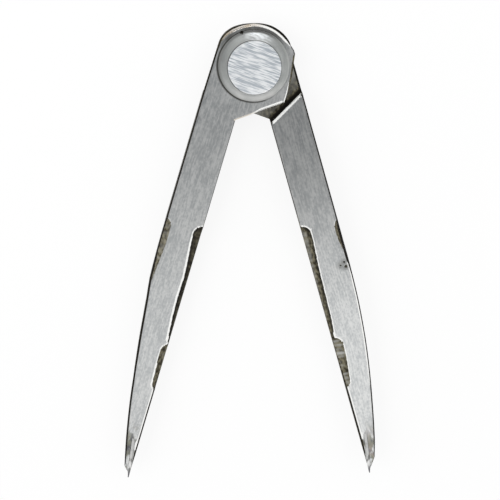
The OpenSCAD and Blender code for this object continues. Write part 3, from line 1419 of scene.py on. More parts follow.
    def _outer_chamfer(self, along: float) -> Chamfer:
        """The broken outer edge: dark, with a bright slope on the lower half.

        Args:
            along: Distance from the pivot.

        Returns:
            The broken edge.
        """
        share = self._tip_share(along)
        shine = ease(along, *self.shine_rise) * (1 - ease(along, *self.shine_fall))
        extra, start, stop = self.outer_dark
        extra *= ease(along, start - 2 * MM, start + 3 * MM)
        extra *= 1 - ease(along, stop, stop + 10 * MM)
        extra += self.lap_dark * (1 - ease(along, *self.lap_dark_run))
        dark = 0.22 + (0.26 + extra + self.low_dark * ease(along, *self.low_run)) * share
        return Chamfer(dark * MM, self.outer_shine * shine * MM, (0.1 + 0.3 * share) * MM)

    def _inner_chamfer(self, along: float) -> Chamfer:
        """The broken inner edge: dark, and wider with a bright slope on the lower half.

        Args:
            along: Distance from the pivot.

        Returns:
            The broken edge.
        """
        share = self._tip_share(along)
        low = ease(along, *self.low_run)
        dark = 0.20 + (0.40 + self.inner_dark) * low * share
        bright = 0.21 * low * share
        shade = 0.8 * max(low, 1 - ease(along, *self.inner_shade_run))
        return Chamfer(dark * MM, bright * MM, (0.06 + 0.28 * share) * MM, shade)

    def hollow(self, across: float, along: float) -> tuple[float, float, float, float]:
        """The forged hollows at a place.

        Args:
            across: The place's X.
            along: Its distance from the pivot.

        Returns:
            Their drop in metres, how much forged skin shows, how worn the crest is and how dark
            the skin is.
        """
        drop, bare, worn, shade = 0.0, 0.0, 0.0, 0.0
        for hollow in self.hollows:
            if not hollow.start - MM < along < hollow.stop + MM:
                continue
            off_edge = across - self.outer_x(along) if hollow.on_outer else self.edge_x - across
            found = hollow.surface(along, off_edge)
            if found[1] > bare:
                shade = found[3]
            drop, bare, worn = (max(a, b) for a, b in zip((drop, bare, worn), found[:3]))
        return drop, bare, worn, shade

    def marks(self, across: float, along: float, in_front: bool) -> tuple[float, float]:
        """Drop of the pits and the punch mark at a place, and how dark they are.

        Args:
            across: The place's X.
            along: Its distance from the pivot.
            in_front: True on the face that carries the lap.

        Returns:
            The drop in metres, and a share from 0 to 1.
        """
        marks = [(*p, self.pit_depth) for p in self.pits] if not in_front else []
        if in_front and self.stake:
            marks.append((*self.stake, self.stake_depth))
        drop, dark = 0.0, 0.0
        for x, u, r, depth in marks:
            away = math.hypot(across - x, along - u) / r
            if away < 1:
                drop = max(drop, depth * (1 - away**2) ** 2)
                dark = max(dark, ease(1 - away, 0.0, 0.45))
        return drop, dark

    def build(self, finish: Finish) -> bpy.types.Object:
        """Builds the leg's mesh.

        Args:
            finish: The leg's finish.

        Returns:
            The leg, in place and riding on its body.
        """
        draft = Draft()
        loop, outer_at, inner_at = self.outline()
        cut = self._shoulder_line(loop[outer_at].place, loop[inner_at].place)
        lap_loop = loop[inner_at:] + loop[: outer_at + 1] + cut
        body_loop = loop[outer_at : inner_at + 1] + cut[::-1]
        bore = self._circle(self.bore_r)
        mouth = self._circle(self.pocket_r or self.bore_r)

        front, front_bore = self._sheet(draft, loop, mouth, self._front_level, False)
        lap, lap_bore = self._sheet(draft, lap_loop, bore, self._lap_level, True)
        back, _ = self._sheet(draft, body_loop, None, self._back_level, True)

        count, lap_count = len(loop), len(lap_loop) - len(cut)
        lap_at = {(inner_at + i) % count: lap[i] for i in range(lap_count)}
        back_at = {outer_at + i: back[i] for i in range(inner_at - outer_at + 1)}
        columns = []
        for i in range(count):
            level = lap_at.get(i)
            columns.append(self._column(draft, loop[i], front[i], level, back_at.get(i)))
        for i in range(count):
            after = (i + 1) % count
            on_body = i in back_at and after in back_at
            size = len(columns[i]) if on_body else 4
            draft.strip(columns[i][:size], columns[after][:size])
        self._shoulder_wall(draft, cut, columns, (outer_at, inner_at), lap, back, lap_count)
        self._bore_wall(draft, front_bore, lap_bore, mouth, bore)

        made = draft.piece(self.name, self.placing(), finish, self.sharp_angle)
        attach(made, self.body)
        return made

    def _shoulder_line(self, start: Plan, stop: Plan) -> list[Station]:
        """Stations between the shoulder's two ends, without the ends."""
        return list(self._walk(start, stop, Rim.SHOULDER))[1:]

    @staticmethod
    def _circle(radius: float, count: int = 72) -> list[Plan]:
        """Corners of a circle round the pivot."""
        turn = 2 * math.pi / count
        return [(radius * math.cos(turn * i), radius * math.sin(turn * i)) for i in range(count)]

    def _face(self, across: float, along: float, drop: float, in_front: bool) -> tuple[float, ...]:
        """What a ground face is like at a place.

        Args:
            across: The place's X.
            along: Its distance from the pivot.
            drop: How far the chamfer lies below the face.
            in_front: True on the face that carries the lap.

        Returns:
            Its distance from the leg's middle in metres, its forged skin, its wear and how dark
            the skin is.
        """
        fall, bare, worn, shade = self.hollow(across, along)
        mark, dark = self.marks(across, along, in_front)
        wave = self.wave * noise.noise(Vector((across, along, 0.05 * in_front)) * 110)
        level = self.height(along) - max(drop, fall + 0.5 * drop) - mark
        level += wave * ease(self.length - along, 0, self.wave_run)
        if dark > bare:
            shade = self.stake_shade if in_front else self.pit_shade
        elif bare == 0 and not in_front:
            near = min((math.hypot(across - x, along - u) for x, u, _ in self.pits), default=1.0)
            shade = 1 - ease(near, *self.pit_halo)
        return level, max(bare, 0.9 * dark), worn, shade

    def _front_level(self, across: float, along: float, drop: float) -> tuple[float, ...]:
        """Height, forged skin, wear and darkness of the face that carries the lap."""
        return self._face(across, along, drop, True)

    def _back_level(self, across: float, along: float, drop: float) -> tuple[float, ...]:
        """Height, forged skin, wear and darkness of the other face."""
        level, *rest = self._face(across, along, drop, False)
        return -level, *rest

    def _lap_level(self, across: float, along: float, drop: float) -> tuple[float, ...]:
        """What the lap's inner face is like: painted shade by the shoulder and at the head's rim.

        Args:
            across: The place's X.
            along: Its distance from the pivot.
            drop: How far the chamfer lies below the face.

        Returns:
            Its height, forged skin, wear and darkness.
        """
        off = (self.shoulder_y(across) + along) * -math.cos(self.shoulder_slope)
        # painted shadow: black by the shoulder, greyer further from it
        shade = 1 - 1.32 * ease(off, *self.shoulder_shade_run) - 0.40 * ease(off, *self.shoulder_shade_fade)
        # painted shade at the rim of the head, under the other leg
        rim = ease(math.hypot(across, along), *(self.width + reach for reach in self.rim_band))
        black_and_shade = rim * ease(-along, *self.rim_rise) * (1 - 0.8 * ease(across, *self.rim_fall))
        shade += (1 - shade) * black_and_shade
        return self.lap_inner_z + 0.2 * min(drop, 0.5 * MM), 1.0, 0.0, shade

    def _sheet(
        self,
        draft: Draft,
        loop: Sequence[Station],
        hole: Sequence[Plan] | None,
        level: Callable[[float, float, float], tuple[float, ...]],
        downward: bool,
    ) -> tuple[list[int], list[int]]:
        """Adds one face of the leg as a close triangle mesh.

        Args:
            draft: The mesh to add to.
            loop: The face's edge, to the left.
            hole: A hole in it.
            level: Gives the height, the forged skin, the wear and the darkness at a place.
            downward: True for a face that looks towards -Z.

        Returns:
            The numbers of the vertices round the edge and round the hole.
        """
        rim = np.array([s.place for s in loop])
        chamfers = [self.chamfer(s) for s in loop]
        dots = [
            Dot(s.place, c.depth, 0.8 * (c.dark < HAIR < c.bright), float(c.dark > HAIR), c.shade)
            for s, c in zip(loop, chamfers)
        ]
        first_hole = len(dots)
        dots += [Dot(spot) for spot in hole or ()]
        first_free = len(dots)
        dots += self._chamfer_dots(rim, chamfers)
        dots += self._inner_dots(rim, chamfers, hole, dots)

        edges = [(i, (i + 1) % len(loop)) for i in range(len(loop))]
        span = len(hole or ())
        edges += [(first_hole + i, first_hole + (i + 1) % span) for i in range(span)]
        flat = [Vector(d.place) / MM for d in dots]
        spots, _, tris, origins, _, _ = delaunay_2d_cdt(flat, edges, [], 1, 1e-5)
        middles = np.array([[sum(spots[i][k] for i in t) / 3 for k in (0, 1)] for t in tris]) * MM
        keep = ~within(middles, np.array(hole)) if hole else np.ones(len(tris), bool)

        numbers: dict[int, int] = {}
        made: dict[int, int] = {}
        for tri, kept in zip(tris, keep):
            if not kept:
                continue
            corners = []
            for i in tri:
                if i not in made:
                    x, y = (c * MM for c in spots[i])
                    dot = dots[min(origins[i])] if origins[i] else Dot((x, y))
                    z, bare, worn, shade = level(x, -y, dot.drop)
                    if dot.scale > 0 and dot.scale >= bare:
                        bare, shade = dot.scale, max(shade, dot.shade)
                    made[i] = draft.point((x, y, z), max(worn, dot.worn), bare, shade)
                    for origin in origins[i]:
                        if origin < first_free:
                            numbers[origin] = made[i]
                corners.append(made[i])
            draft.faces.append(tuple(corners[::-1] if downward else corners))
        return (
            [numbers[i] for i in range(len(loop))],
            [numbers[i] for i in range(first_hole, first_free)],
        )

    def _chamfer_dots(self, rim: np.ndarray, chamfers: Sequence[Chamfer]) -> list[Dot]:
        """Rows of places that shape the broken edge.

        Args:
            rim: The edge, to the left.
            chamfers: The broken edge at each place of it.

        Returns:
            The places inside the edge.
        """
        back, ahead = np.roll(rim, 1, axis=0), np.roll(rim, -1, axis=0)
        found = []
        for before, here, after, chamfer in zip(back, rim, ahead, chamfers):
            a, b = here - before, after - here
            a, b = a / np.hypot(*a), b / np.hypot(*b)
            inward = np.array([-(a[1] + b[1]), a[0] + b[0]])
            half = np.hypot(*inward) / 2
            inward = inward / (2 * half) / max(half, self.least_mitre)
            for reach, drop, worn, scale in chamfer.rows():
                dot = Dot(tuple(here + inward * reach), drop, worn, scale, chamfer.shade)
                found.append((reach, dot))
        spots = np.array([dot.place for _, dot in found])
        room = self.row_room * np.array([reach for reach, _ in found])
        keep = within(spots, rim) & (clearance(spots, rim) > room)
        return [dot for (_, dot), kept in zip(found, keep) if kept]

    def _inner_dots(
        self,
        rim: np.ndarray,
        chamfers: Sequence[Chamfer],
        hole: Sequence[Plan] | None,
        edge_dots: Sequence[Dot],
    ) -> list[Dot]:
        """Places all over a face, close together in the hollows and marks.

        Args:
            rim: The edge, to the left.
            chamfers: The broken edge at each place of it.
            hole: A hole in the face.
            edge_dots: The places that are there already.

        Returns:
            The new places.
        """
        fine = list(self._hollow_places()) + list(self._mark_places())
        pitch = self.mesh_pitch
        low, high = rim.min(0), rim.max(0)
        coarse = [
            (low[0] + (i + 0.5 * (j % 2)) * pitch, low[1] + j * pitch * self.row_share)
            for j in range(int((high[1] - low[1]) / (pitch * self.row_share)) + 1)
            for i in range(int((high[0] - low[0]) / pitch) + 1)
        ]
        spots = np.array(fine + coarse)
        room = clearance(spots, rim)
        keep = within(spots, rim)
        if hole:
            ring = np.array(hole)
            keep &= ~within(spots, ring) & (clearance(spots, ring) > self.hole_room)
        cell = self.dot_cell
        taken = {(int(d.place[0] // cell), int(d.place[1] // cell)) for d in edge_dots}
        found = []
        for i, spot in enumerate(spots):
            if not keep[i]:
                continue
            edge = chamfers[int(np.argmin(np.hypot(*(rim - spot).T)))].reach()
            edge += self.fine_room if i < len(fine) else self.coarse_room
            home = (int(spot[0] // cell), int(spot[1] // cell))
            if room[i] < edge or any(
                (home[0] + a, home[1] + b) in taken for a in (-1, 0, 1) for b in (-1, 0, 1)
            ):
                continue
            taken.add(home)
            found.append(Dot(tuple(spot)))
        return found

    def _hollow_places(self) -> Iterator[Plan]:
        """Follows the borders and floors of the hollows.

        Yields:
            Places on them.
        """
        insides = (-0.45, -0.28, -0.12, 0.0, 0.12, 0.28, 0.5, 0.8, 1.15, 1.55, 2.0, 2.5)
        margin, end_zone, close, usual = 0.5 * MM, 3 * MM, 0.3 * MM, 0.45 * MM
        for hollow in self.hollows:
            along = hollow.start - margin
            while along < hollow.stop + margin:
                near_end = min(along - hollow.start, hollow.stop - along) < end_zone
                width = hollow.width(along)
                reaches = (
                    np.arange(0.1 * MM, width + 0.6 * MM, close)
                    if near_end
                    else [width - r * MM for r in insides]
                )
                outer = self.outer_x(along)
                for reach in reaches:
                    if reach > 0.08 * MM:
                        yield (outer + reach if hollow.on_outer else self.edge_x - reach, -along)
                along += close if near_end else usual

    def _mark_places(self) -> Iterator[Plan]:
        """Goes round the pits and the punch mark.

        Yields:
            Places in and round them.
        """
        for x, along, r in (*self.pits, *((self.stake,) if self.stake else ())):
            yield (x, -along)
            for share in (0.4, 0.7, 0.9, 1.05, 1.3):
                count = 6 + round(10 * share)
                for i in range(count):
                    turn = 2 * math.pi * i / count
                    yield (x + r * share * math.cos(turn), -along + r * share * math.sin(turn))

    def _column(
        self, draft: Draft, station: Station, top: int, lap: int | None, back: int | None
    ) -> list[int]:
        """Adds the vertices that go down the leg's side at a station.

        Args:
            draft: The mesh to add to.
            station: Where on the edge.
            top: The vertex of the front face.
            lap: The vertex of the lap's inner face, above the shoulder.
            back: The vertex of the back face, below the shoulder.

        Returns:
            The vertices from the front down.
        """
        x, y = station.place
        high = draft.places[top].z
        skin = SLOT_SKIN if station.rim is Rim.SLOT else SIDE_SKIN

        def side(z: float) -> int:
            """One vertex on the side."""
            return draft.point((x, y, z), 0.0, skin, 0.0)

        if lap is None:
            middle = side(min(self.lap_inner_z, 0.2 * high))
        else:
            middle = lap
        level = draft.places[middle].z
        column = [top, *(side(high + (level - high) * share) for share in (0.12, 0.6)), middle]
        if back is not None:
            low = draft.places[back].z
            column += [*(side(level + (low - level) * share) for share in (0.45, 0.9)), back]
        return column

    def _shoulder_wall(
        self,
        draft: Draft,
        cut: Sequence[Station],
        columns: Sequence[Sequence[int]],
        ends: tuple[int, int],
        lap: Sequence[int],
        back: Sequence[int],
        lap_count: int,
    ) -> None:
        """Adds the upright wall between the lap's inner face and the back face.

        Args:
            draft: The mesh to add to.
            cut: The stations between the wall's ends, from the outer edge on.
            columns: The columns of the leg's side.
            ends: The stations at the wall's outer and inner end.
            lap: The edge of the lap's inner face; the shoulder comes last.
            back: The edge of the back face; the shoulder comes last.
            lap_count: How many of the lap's edge vertices come before the shoulder.
        """
        back_count = len(back) - len(cut)
        walls = [list(columns[ends[0]][3:])]
        for i, station in enumerate(cut):
            upper, lower = lap[lap_count + i], back[back_count + len(cut) - 1 - i]
            high, low = draft.places[upper].z, draft.places[lower].z
            x, y = station.place
            # the shoulder's wall is painted black, as the shade in the corner
            between = [draft.point((x, y, high + (low - high) * s), 0, 1, 1) for s in (0.45, 0.9)]
            walls.append([upper, *between, lower])
        walls.append(list(columns[ends[1]][3:]))
        for first, second in zip(walls, walls[1:]):
            draft.strip(second, first)

    def _bore_wall(
        self,
        draft: Draft,
        front: Sequence[int],
        lap: Sequence[int],
        mouth: Sequence[Plan],
        bore: Sequence[Plan],
    ) -> None:
        """Adds the wall of the bore, with a pocket's wall and floor where there is one.

        Args:
            draft: The mesh to add to.
            front: The hole's vertices in the front face.
            lap: The hole's vertices in the lap's inner face.
            mouth: The hole's corners in the front face.
            bore: The bore's corners.
        """
        rows = [list(front)]
        if self.pocket_r:
            floor = self.half_thick - self.pocket_depth
            rows.append([draft.point((*p, floor), 0, 0.3) for p in mouth])
            rows.append([draft.point((*p, floor), 0, 0.3) for p in bore])
        rows.append(list(lap))
        for upper, lower in zip(rows, rows[1:]):
            draft.strip(upper + upper[:1], lower + lower[:1])


@dataclass
class Point:
    """The hard strip let into a leg's end and ground to a short needle, in the leg's frame."""

    name: str
    leg: Leg
    half: float = 0.00055
    strip_len: float = 0.0146
    inner_bevel: float = 0.0034
    tip_half: float = 0.00017
    round_off: float = 0.00010
    sharp_angle: float = 30.0
    step: float = 0.00022

    def sides(self, up: float) -> Plan:
        """Where the strip's outer and inner side are.

        Args:
            up: Distance from the needle's end along the leg.

        Returns:
            The X of the outer and of the inner side.
        """
        leg = self.leg
        lean = up * math.tan(leg.slot_slope)
        half = self.half / math.cos(leg.slot_slope)
        heel = leg.outer_x(leg.length - leg.end_bevel)
        tip_x = leg.slot_x - self.tip_half
        if up < leg.needle_len:
            outer = tip_x + (leg.needle_x - tip_x) * (up / leg.needle_len) ** 1.3
        else:
            share = (up - leg.needle_len) / (leg.end_bevel - leg.needle_len)
            outer = leg.needle_x + (heel - leg.needle_x) * share
        inner_tip = leg.slot_x + self.tip_half
        inner = inner_tip + (leg.edge_x - inner_tip) * min(1.0, up / self.inner_bevel)
        return max(outer, leg.slot_x - half - lean), min(inner, leg.slot_x + half - lean)

    def build(self, finish: Finish) -> bpy.types.Object:
        """Builds the strip as a row of eight-cornered sections.

        Args:
            finish: Its finish.

        Returns:
            The strip, in place and riding on its leg's body.
        """
        draft = Draft()
        rows = []
        count = round(self.strip_len / self.step)
        for i in range(count + 1):
            up = self.strip_len * i / count
            outer, inner = self.sides(up)
            z = self.leg.height(self.leg.length - up)
            cut = min(self.round_off, 0.3 * (inner - outer), 0.3 * z)
            corners = [
                (outer, -z + cut), (outer + cut, -z), (inner - cut, -z), (inner, -z + cut),
                (inner, z - cut), (inner - cut, z), (outer + cut, z), (outer, z - cut),
            ]
            row = [draft.point((x, up - self.leg.length, h)) for x, h in corners]
            rows.append(row + row[:1])
        for first, second in zip(rows, rows[1:]):
            draft.strip(second, first)
        draft.faces += [tuple(rows[0][:-1]), tuple(rows[-1][-2::-1])]
        made = draft.piece(self.name, self.leg.placing(), finish, self.sharp_angle)
        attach(made, self.leg.body)
        return made


@dataclass(frozen=True)
class Ring:
    """One circle of a turned piece's outline, with its shift off the axis, wear and painted shade.
    """

    radius: float
    height: float
    shift: Plan = (0.0, 0.0)
    worn: float = 0.0
    black_and_shade: float = 0.0


@dataclass
class Pivot:
    """The riveted joint: the rivet, the outer washers, the friction disc and the disc spring."""

    shank_r: float = 0.005
    head_r: float = 0.009
    head_t: float = 0.0009
    stack: float = 0.01002
    washer_r: float = 0.012
    washer_t: float = 0.0011
    washer_lip: float = 0.0004
    washer_fall: float = 0.0004
    washer_bore: float = 0.00505
    recess_r: float = 0.0091
    rivet_shift: Plan = (0.00042, -0.00022)
    recess_shift: Plan = (0.00037, -0.00017)
    washer_shift: Plan = (0.00024, 0.00028)
    stake: Place = (-0.0039, 0.01150, 0.00070)
    sharp_angle: float = 38.0
    segments: int = 192

    def _turned(self, draft: Draft, rings: Sequence[Ring], lift: float, flip: float) -> None:
        """Adds a turned piece.

        Args:
            draft: The mesh to add to.
            rings: Its outline, from the axis or the bore round and back.
            lift: Height of the outline's zero.
            flip: 1 to build upwards, -1 to build downwards.
        """
        rows = []
        for ring in rings:
            z = lift + flip * ring.height
            if ring.radius == 0:
                rows.append([draft.point((*ring.shift, z), ring.worn)] * (self.segments + 1))
                continue
            turn = 2 * math.pi / self.segments
            row = [
                draft.point(
                    (
                        ring.shift[0] + ring.radius * math.cos(turn * i),
                        ring.shift[1] + ring.radius * math.sin(turn * i),
                        z,
                    ),
                    ring.worn,
                    ring.black_and_shade,
                )
                for i in range(self.segments)
            ]
            rows.append(row + row[:1])
        for first, second in zip(rows, rows[1:]):
            if flip > 0:
                draft.strip(first, second)
            else:
                draft.strip(second, first)
        draft.faces = [tuple(dict.fromkeys(f)) for f in draft.faces]

    def _head(self, shift: Plan) -> list[Ring]:
        """Outline of a rivet's head from its underside to the middle of its face.

        Args:
            shift: How far the head lies off the axis.

        Returns:
            The circles of the outline.
        """
        r, t = self.head_r, self.head_t
        return [
            Ring(self.shank_r, 0.0),
            Ring(r, 0.0, shift),
            Ring(r, t - 0.30 * MM, shift),
            Ring(r - 0.06 * MM, t - 0.16 * MM, shift, 0.6),
            Ring(r - 0.20 * MM, t - 0.05 * MM, shift, 1.0),
            Ring(r - 0.45 * MM, t - 0.01 * MM, shift, 0.5),
            Ring(r * 0.86, t, shift),
            Ring(r * 0.55, t, shift),
            Ring(r * 0.25, t, shift),
            Ring(0.0, t, shift),
        ]

    def rivet(self, finish: Finish) -> bpy.types.Object:
        """Builds the rivet with both its heads.

        Args:
            finish: Its finish.

        Returns:
            The rivet, riding with the front leg.
        """
        draft = Draft()
        grip = self.stack - self.head_t
        rear = [replace(ring, height=self.head_t - ring.height) for ring in self._head((0.0, 0.0))]
        front = [replace(ring, height=grip + ring.height) for ring in self._head(self.rivet_shift)]
        self._turned(draft, rear[::-1] + front, 0.0, 1)
        made = draft.piece("riveted_pivot", Matrix.Identity(4), finish, self.sharp_angle)
        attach(made, "front_half")
        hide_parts("pivot_rivet")
        return made

    def washer(self, name: str, node: str, finish: Finish, in_front: bool) -> bpy.types.Object:
        """Builds an outer washer.

        Args:
            name: The piece's name.
            node: The solid that it stands for.
            finish: Its finish.
            in_front: True for the front one, which has the punch mark.

        Returns:
            The washer, riding with the front leg.
        """
        t, lip, r = self.washer_t, self.washer_lip, self.washer_r
        off = self.washer_shift if in_front else (0.0, 0.0)
        seat = self.recess_shift if in_front else (0.0, 0.0)
        between = tuple((a + b) / 2 for a, b in zip(off, seat))
        rim_z = t + lip - self.washer_fall
        rings = [
            Ring(self.washer_bore, 0.0),
            Ring(r - 0.5 * MM, 0.0, off),
            Ring(r - 0.1 * MM, 0.0, off),
            Ring(r, 0.1 * MM, off),
            Ring(r, rim_z - 0.42 * MM, off, 0.1),
            Ring(r - 0.08 * MM, rim_z - 0.26 * MM, off, 0.9),
            Ring(r - 0.30 * MM, rim_z - 0.10 * MM, off, 1.0),
            Ring(r - 0.62 * MM, rim_z + 0.02 * MM, off, 0.5),
            Ring(r - 0.95 * MM, rim_z + 0.09 * MM, off),
            Ring(r * 0.5 + self.recess_r * 0.5, rim_z + 0.20 * MM, between),
            Ring(self.recess_r + 0.25 * MM, t + lip - 0.03 * MM, seat),
            Ring(self.recess_r + 0.06 * MM, t + lip - 0.08 * MM, seat, 0.4),
            # the groove round the rivet's head is painted dark as shade
            Ring(self.recess_r, t + lip - 0.18 * MM, seat, black_and_shade=0.2),
            Ring(self.recess_r, t, seat, black_and_shade=0.6),
            Ring(self.washer_bore, t),
            Ring(self.washer_bore, 0.0),
        ]
        draft = Draft()
        lift = self.stack - self.head_t - t if in_front else self.head_t + t
        self._turned(draft, rings, lift, 1 if in_front else -1)
        if in_front:
            self._punch(draft, lift)
        made = draft.piece(name, Matrix.Identity(4), finish, self.sharp_angle)
        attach(made, "front_half")
        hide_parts(node)
        return made

    def _punch(self, draft: Draft, floor: float) -> None:
        """Presses the punch mark into the washer's rim.

        Args:
            draft: The washer's mesh.
            floor: Height of the leg's face, which the mark reaches.
        """
        x, y, r = self.stake
        for i, place in enumerate(draft.places):
            away = math.hypot(place.x - x, place.y - y) / r
            if away < 1:
                press = 1 - away**4
                place.z = floor + (place.z - floor) * (1 - 0.85 * press)
                draft.worn[i] = 0.0
                # the mark's dent is painted black as shade
                draft.scale[i] = ease(press, 0.0, 0.5)


def dress_node(node: str, finish: Finish) -> None:
    """Gives a CAD node that is shown as it is a finish.

    Args:
        node: The node's name.
        finish: Its finish.
    """
    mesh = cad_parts[node].data
    mesh.materials.clear()
    mesh.materials.append(finish.material())
    LOG.info("dressed %s as %s", node, finish.name)


def report(piece: bpy.types.Object) -> None:
    """Reports a finished piece."""
    LOG.info("built %s with %d faces", piece.name, len(piece.data.polygons))


@dataclass(frozen=True)
class Lamp:
    """A soft square lamp that looks at the compass: its place, edge and watts."""

    name: str
    spot: Place
    size: float
    power: float
    mirrored: bool = False


@dataclass
class Studio:
    """The floor, the lamps, the world and the camera."""

    aim: Place = (0.0, -0.068, MID_Z)
    distance: float = 0.700
    tilt: float = math.radians(11.0)
    yaw: float = math.radians(2.5)
    roll: float = math.radians(-0.43)
    lens: float = 146.82
    middle_ray: Place = (-0.000616, 0.006783, -1.0)
    floor_at: Place = (0.0, 0.0, -0.00005)
    floor_size: Plan = (4.0, 4.0)
    flag_at: Place = (0.0, 0.23, 0.95)
    flag_size: Plan = (1.3, 0.80)
    world_light: float = 0.60
    lamps: tuple[Lamp, ...] = (
        Lamp("left_lamp", (-1.05, 0.10, 0.75), 1.3, 10.0),
        Lamp("right_lamp", (1.10, 0.20, 0.60), 1.1, 3.5),
        Lamp("head_lamp", (0.25, 1.15, 0.65), 1.1, 4.5),
        Lamp("glint_lamp", (0.03, 0.19, 0.93), 0.18, 0.55, mirrored=True),
    )

    def build(self) -> None:
        """Builds everything that isn't part of the compass."""
        self._camera()
        self._card("floor", self.floor_at, self.floor_size, PaleFloor("pale_floor"))
        self._world()
        flag = self._card("flag", self.flag_at, self.flag_size, GreyFlag("grey_flag"))
        flag.visible_camera = False
        flag.visible_diffuse = False
        flag.visible_shadow = False
        for lamp in self.lamps:
            self._hang(lamp)

    def _camera(self) -> None:
        """Puts the camera where the photograph was taken from."""
        turn = (
            Matrix.Rotation(self.roll, 3, "Z")
            @ Matrix.Rotation(self.tilt, 3, "X")
            @ Matrix.Rotation(self.yaw, 3, "Y")
        ).transposed()
        data = bpy.data.cameras.new("camera")
        data.lens = self.lens
        made = bpy.data.objects.new("camera", data)
        bpy.context.scene.collection.objects.link(made)
        back = -(turn @ Vector(self.middle_ray)).normalized()
        right = (turn @ Vector((0, 1, 0))).cross(back).normalized()
        upward = back.cross(right)
        spot = Vector(self.aim) + turn @ Vector((0, 0, self.distance))
        facing = Matrix((right, upward, back)).transposed().to_4x4()
        made.matrix_world = Matrix.Translation(spot) @ facing
        bpy.context.scene.camera = made

    @staticmethod
    def _card(name: str, centre: Place, size: Plan, finish: Finish) -> bpy.types.Object:
        """Adds a flat card that is part of the stage.

        Args:
            name: Its name.
            centre: Where its middle is.
            size: Its extent along X and Y.
            finish: Its finish.

        Returns:
            The card.
        """
        mesh = bpy.data.meshes.new(name)
        x, y = size[0] / 2, size[1] / 2
        mesh.from_pydata([(-x, -y, 0), (x, -y, 0), (x, y, 0), (-x, y, 0)], [], [(0, 1, 2, 3)])
        mesh.materials.append(finish.material())
        made = bpy.data.objects.new(name, mesh)
        made.location = centre
        bpy.context.scene.collection.objects.link(made)
        made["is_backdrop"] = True
        return made

    def _world(self) -> None:
        """Sets the even light from all round and the white background."""
        world = bpy.data.worlds.new("studio")
        world.use_nodes = True
        bpy.context.scene.world = world
        graph = Graph(world.node_tree)
        level = graph.seen_directly() * (1 - self.world_light) + self.world_light
        light = graph.node(
            "ShaderNodeBackground", None, {"Color": (1, 1, 1, 1), "Strength": level}
        )
        graph.node("ShaderNodeOutputWorld", None, {"Surface": light.outputs[0]})

    def _hang(self, lamp: Lamp) -> None:
        """Adds a lamp.

        Args:
            lamp: What it is like.
        """
        data = bpy.data.lights.new(lamp.name, "AREA")
        data.size, data.energy = lamp.size, lamp.power
        made = bpy.data.objects.new(lamp.name, data)
        made.location = lamp.spot
        aim = Vector(self.aim) - Vector(lamp.spot)
        made.rotation_mode = "QUATERNION"
        made.rotation_quaternion = aim.to_track_quat("-Z", "Y")
        made.visible_glossy = lamp.mirrored
        bpy.context.scene.collection.objects.link(made)


FRONT_HEAD = (
    (30.0, 0.00015), (38.0, 0.00020), (44.0, 0.0), (50.0, -0.00028), (58.0, -0.00042),
    (66.0, -0.00042), (75.0, -0.00036), (83.0, -0.00034), (97.0, -0.00032), (111.0, -0.00020),
    (124.0, 0.00004), (135.0, 0.00024), (145.0, 0.00022), (154.0, 0.0), (165.0, -0.00010),
)
REAR_HEAD = (
    (30.0, -0.00070), (52.0, -0.00070), (68.0, -0.00045), (85.0, -0.00040), (108.0, -0.00034),
    (118.0, -0.00014), (132.0, 0.00022), (150.0, 0.00034), (165.0, 0.00034),
)
FRONT_BEND = (
    (0.0800, 0.0), (0.0867, 0.00041), (0.0938, 0.00058), (0.1080, 0.00062), (0.1153, 0.00060),
    (0.1225, 0.00038), (0.1296, 0.00024), (0.1368, 0.00010), (0.1460, 0.00005),
)
REAR_BEND = (
    (0.0660, 0.0), (0.0730, -0.00015), (0.0800, -0.00031), (0.0870, -0.00048), (0.0940, -0.00054),
    (0.1010, -0.00060), (0.1080, -0.00057), (0.1160, -0.00048), (0.1230, -0.00037),
    (0.1300, -0.00033), (0.1370, -0.00030), (0.1440, 0.0),
)
REAR_PITS = (
    (-0.01023, 0.07393, 0.00038), (-0.01184, 0.07302, 0.00052), (-0.01199, 0.07467, 0.00074),
)
# Each hollow's shade is partly its skin's colour and partly painted shade for how it faces the
# light.
FRONT_HOLLOWS = (
    Hollow(
        False, 0.0569, 0.0996,
        ((0.0569, 0.0029), (0.0638, 0.0028), (0.0715, 0.0021), (0.0760, 0.0018), (0.0829, 0.0020),
         (0.0904, 0.0017), (0.0955, 0.0013), (0.0987, 0.0010), (0.0996, 0.0006)),
        0.0036, 0.0004, lip=0.0004, shine=0.8, shade=0.60,
    ),
    Hollow(
        False, 0.0995, 0.1170,
        ((0.0995, 0.0021), (0.1067, 0.0021), (0.1130, 0.0018), (0.1153, 0.0016), (0.1170, 0.0014)),
        0.0034, 0.0019, lip=0.0002, shade=-0.08, shine=0.8,
    ),
    Hollow(
        True, 0.0570, 0.0850,
        ((0.0572, 0.0024), (0.0656, 0.0024), (0.0718, 0.0018), (0.0777, 0.0011), (0.0850, 0.0)),
        0.0036, 0.0010, shine=0.2, shade=-0.19, corner=0.0,
    ),
)
REAR_HOLLOWS = (
    Hollow(
        False, 0.0571, 0.0983,
        ((0.0571, 0.0031), (0.0634, 0.0030), (0.0721, 0.0024), (0.0813, 0.0021), (0.0910, 0.0018),
         (0.0983, 0.0011)),
        0.0030, 0.0005, shade=-0.36, corner=1.05, corner_wide=0.0020,
    ),
    Hollow(
        False, 0.0978, 0.11595,
        ((0.0978, 0.0032), (0.1023, 0.0033), (0.1051, 0.0032), (0.1084, 0.0029), (0.1143, 0.0022),
         (0.1160, 0.0021)),
        0.0028, 0.0017, 0.00014, shine=0.8, shade=-0.38,
    ),
    Hollow(
        True, 0.0574, 0.0745,
        ((0.0574, 0.0018), (0.0630, 0.0018), (0.0659, 0.0016), (0.0683, 0.0011), (0.0713, 0.0005),
         (0.0745, 0.0)),
        0.0036, 0.0010, shine=0.45, shade=0.0,
    ),
)


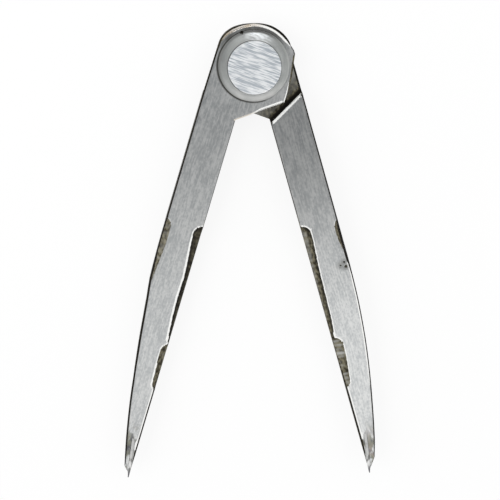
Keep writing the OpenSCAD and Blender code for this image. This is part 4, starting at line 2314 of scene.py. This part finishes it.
def main() -> None:
    """Builds the studio and every piece of the compass, and reports each one."""
    logging.basicConfig(level=logging.INFO, format="%(name)s: %(message)s")
    bpy.context.scene.view_settings.view_transform = "Standard"
    Studio().build()

    into_leg = Matrix.Rotation(HALF_OPEN, 2)
    stake = into_leg @ Vector(Pivot.stake[:2])
    front_steel = ForgedLeg(
        "forged_front_leg",
        heat_run=(0.1283, 0.1368),
        washer_centre=tuple(into_leg @ Vector(Pivot.washer_shift)),
    )
    # the rear leg's head is painted darker still, as painted shade
    rear_steel = ForgedLeg(
        "forged_rear_leg", shaded_head_tone=0.318, low_tone=0.710, lap_foot=OFF_LEG
    )
    front = Leg(
        "ground_front_leg", "front_half", False, FRONT_HOLLOWS,
        head_trim=FRONT_HEAD,
        head_in=0.00024,
        outer_bend=FRONT_BEND,
        outer_dark=(0.20, 0.071, 0.104),
        low_dark=0.12,
        end_bevel=0.0040,
        needle_len=0.0020,
        needle_x=-0.00138,
        stake=(stake.x, -stake.y, Pivot.stake[2]),
    )
    rear = Leg(
        "ground_rear_leg", "rear_half", True, REAR_HOLLOWS,
        length=0.1487,
        outer_shine=0.28,
        head_trim=REAR_HEAD,
        head_flare=0.00085,
        side_slope=math.radians(24.5),
        lap_dark=0.22,
        inner_dark=0.20,
        outer_bend=REAR_BEND,
        outer_dark=(0.50, 0.0595, 0.0690),
        end_bevel=0.0054,
        needle_len=0.0016,
        needle_x=-0.00130,
        pits=REAR_PITS,
        bore_r=0.00504,
        pocket_r=0.0097,
    )
    for leg, steel, node in ((front, front_steel, "front_leg"), (rear, rear_steel, "rear_leg")):
        piece = leg.build(steel)
        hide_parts(node)
        report(piece)

    pivot = Pivot()
    washer_finish = TurnedWasher("turned_washer_steel")
    for piece in (
        pivot.rivet(GroundRivet("filed_rivet_steel")),
        pivot.washer("turned_front_washer", "front_washer", washer_finish, True),
        pivot.washer("turned_rear_washer", "rear_washer", washer_finish, False),
    ):
        report(piece)

    for leg, name in ((front, "front_point"), (rear, "rear_point")):
        finish = HardPoint(f"{name}_steel", tip=(leg.slot_x, -leg.length))
        piece = Point(f"ground_{name}", leg).build(finish)
        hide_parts(name)
        report(piece)

    blued = RolledSheet(
        "blued_spring_steel", metal=(0.32, 0.34, 0.38), tarnish=(0.12, 0.13, 0.18), rough=0.32
    )
    dress_node("friction_disc", RolledSheet("friction_brass"))
    dress_node("disc_spring", blued)

    boxes = {"cad": CAD_BOX, "visual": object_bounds()}
    {k: [list(corner) for corner in box] for k, box in boxes.items()}


if __name__ == "__main__":
    main()
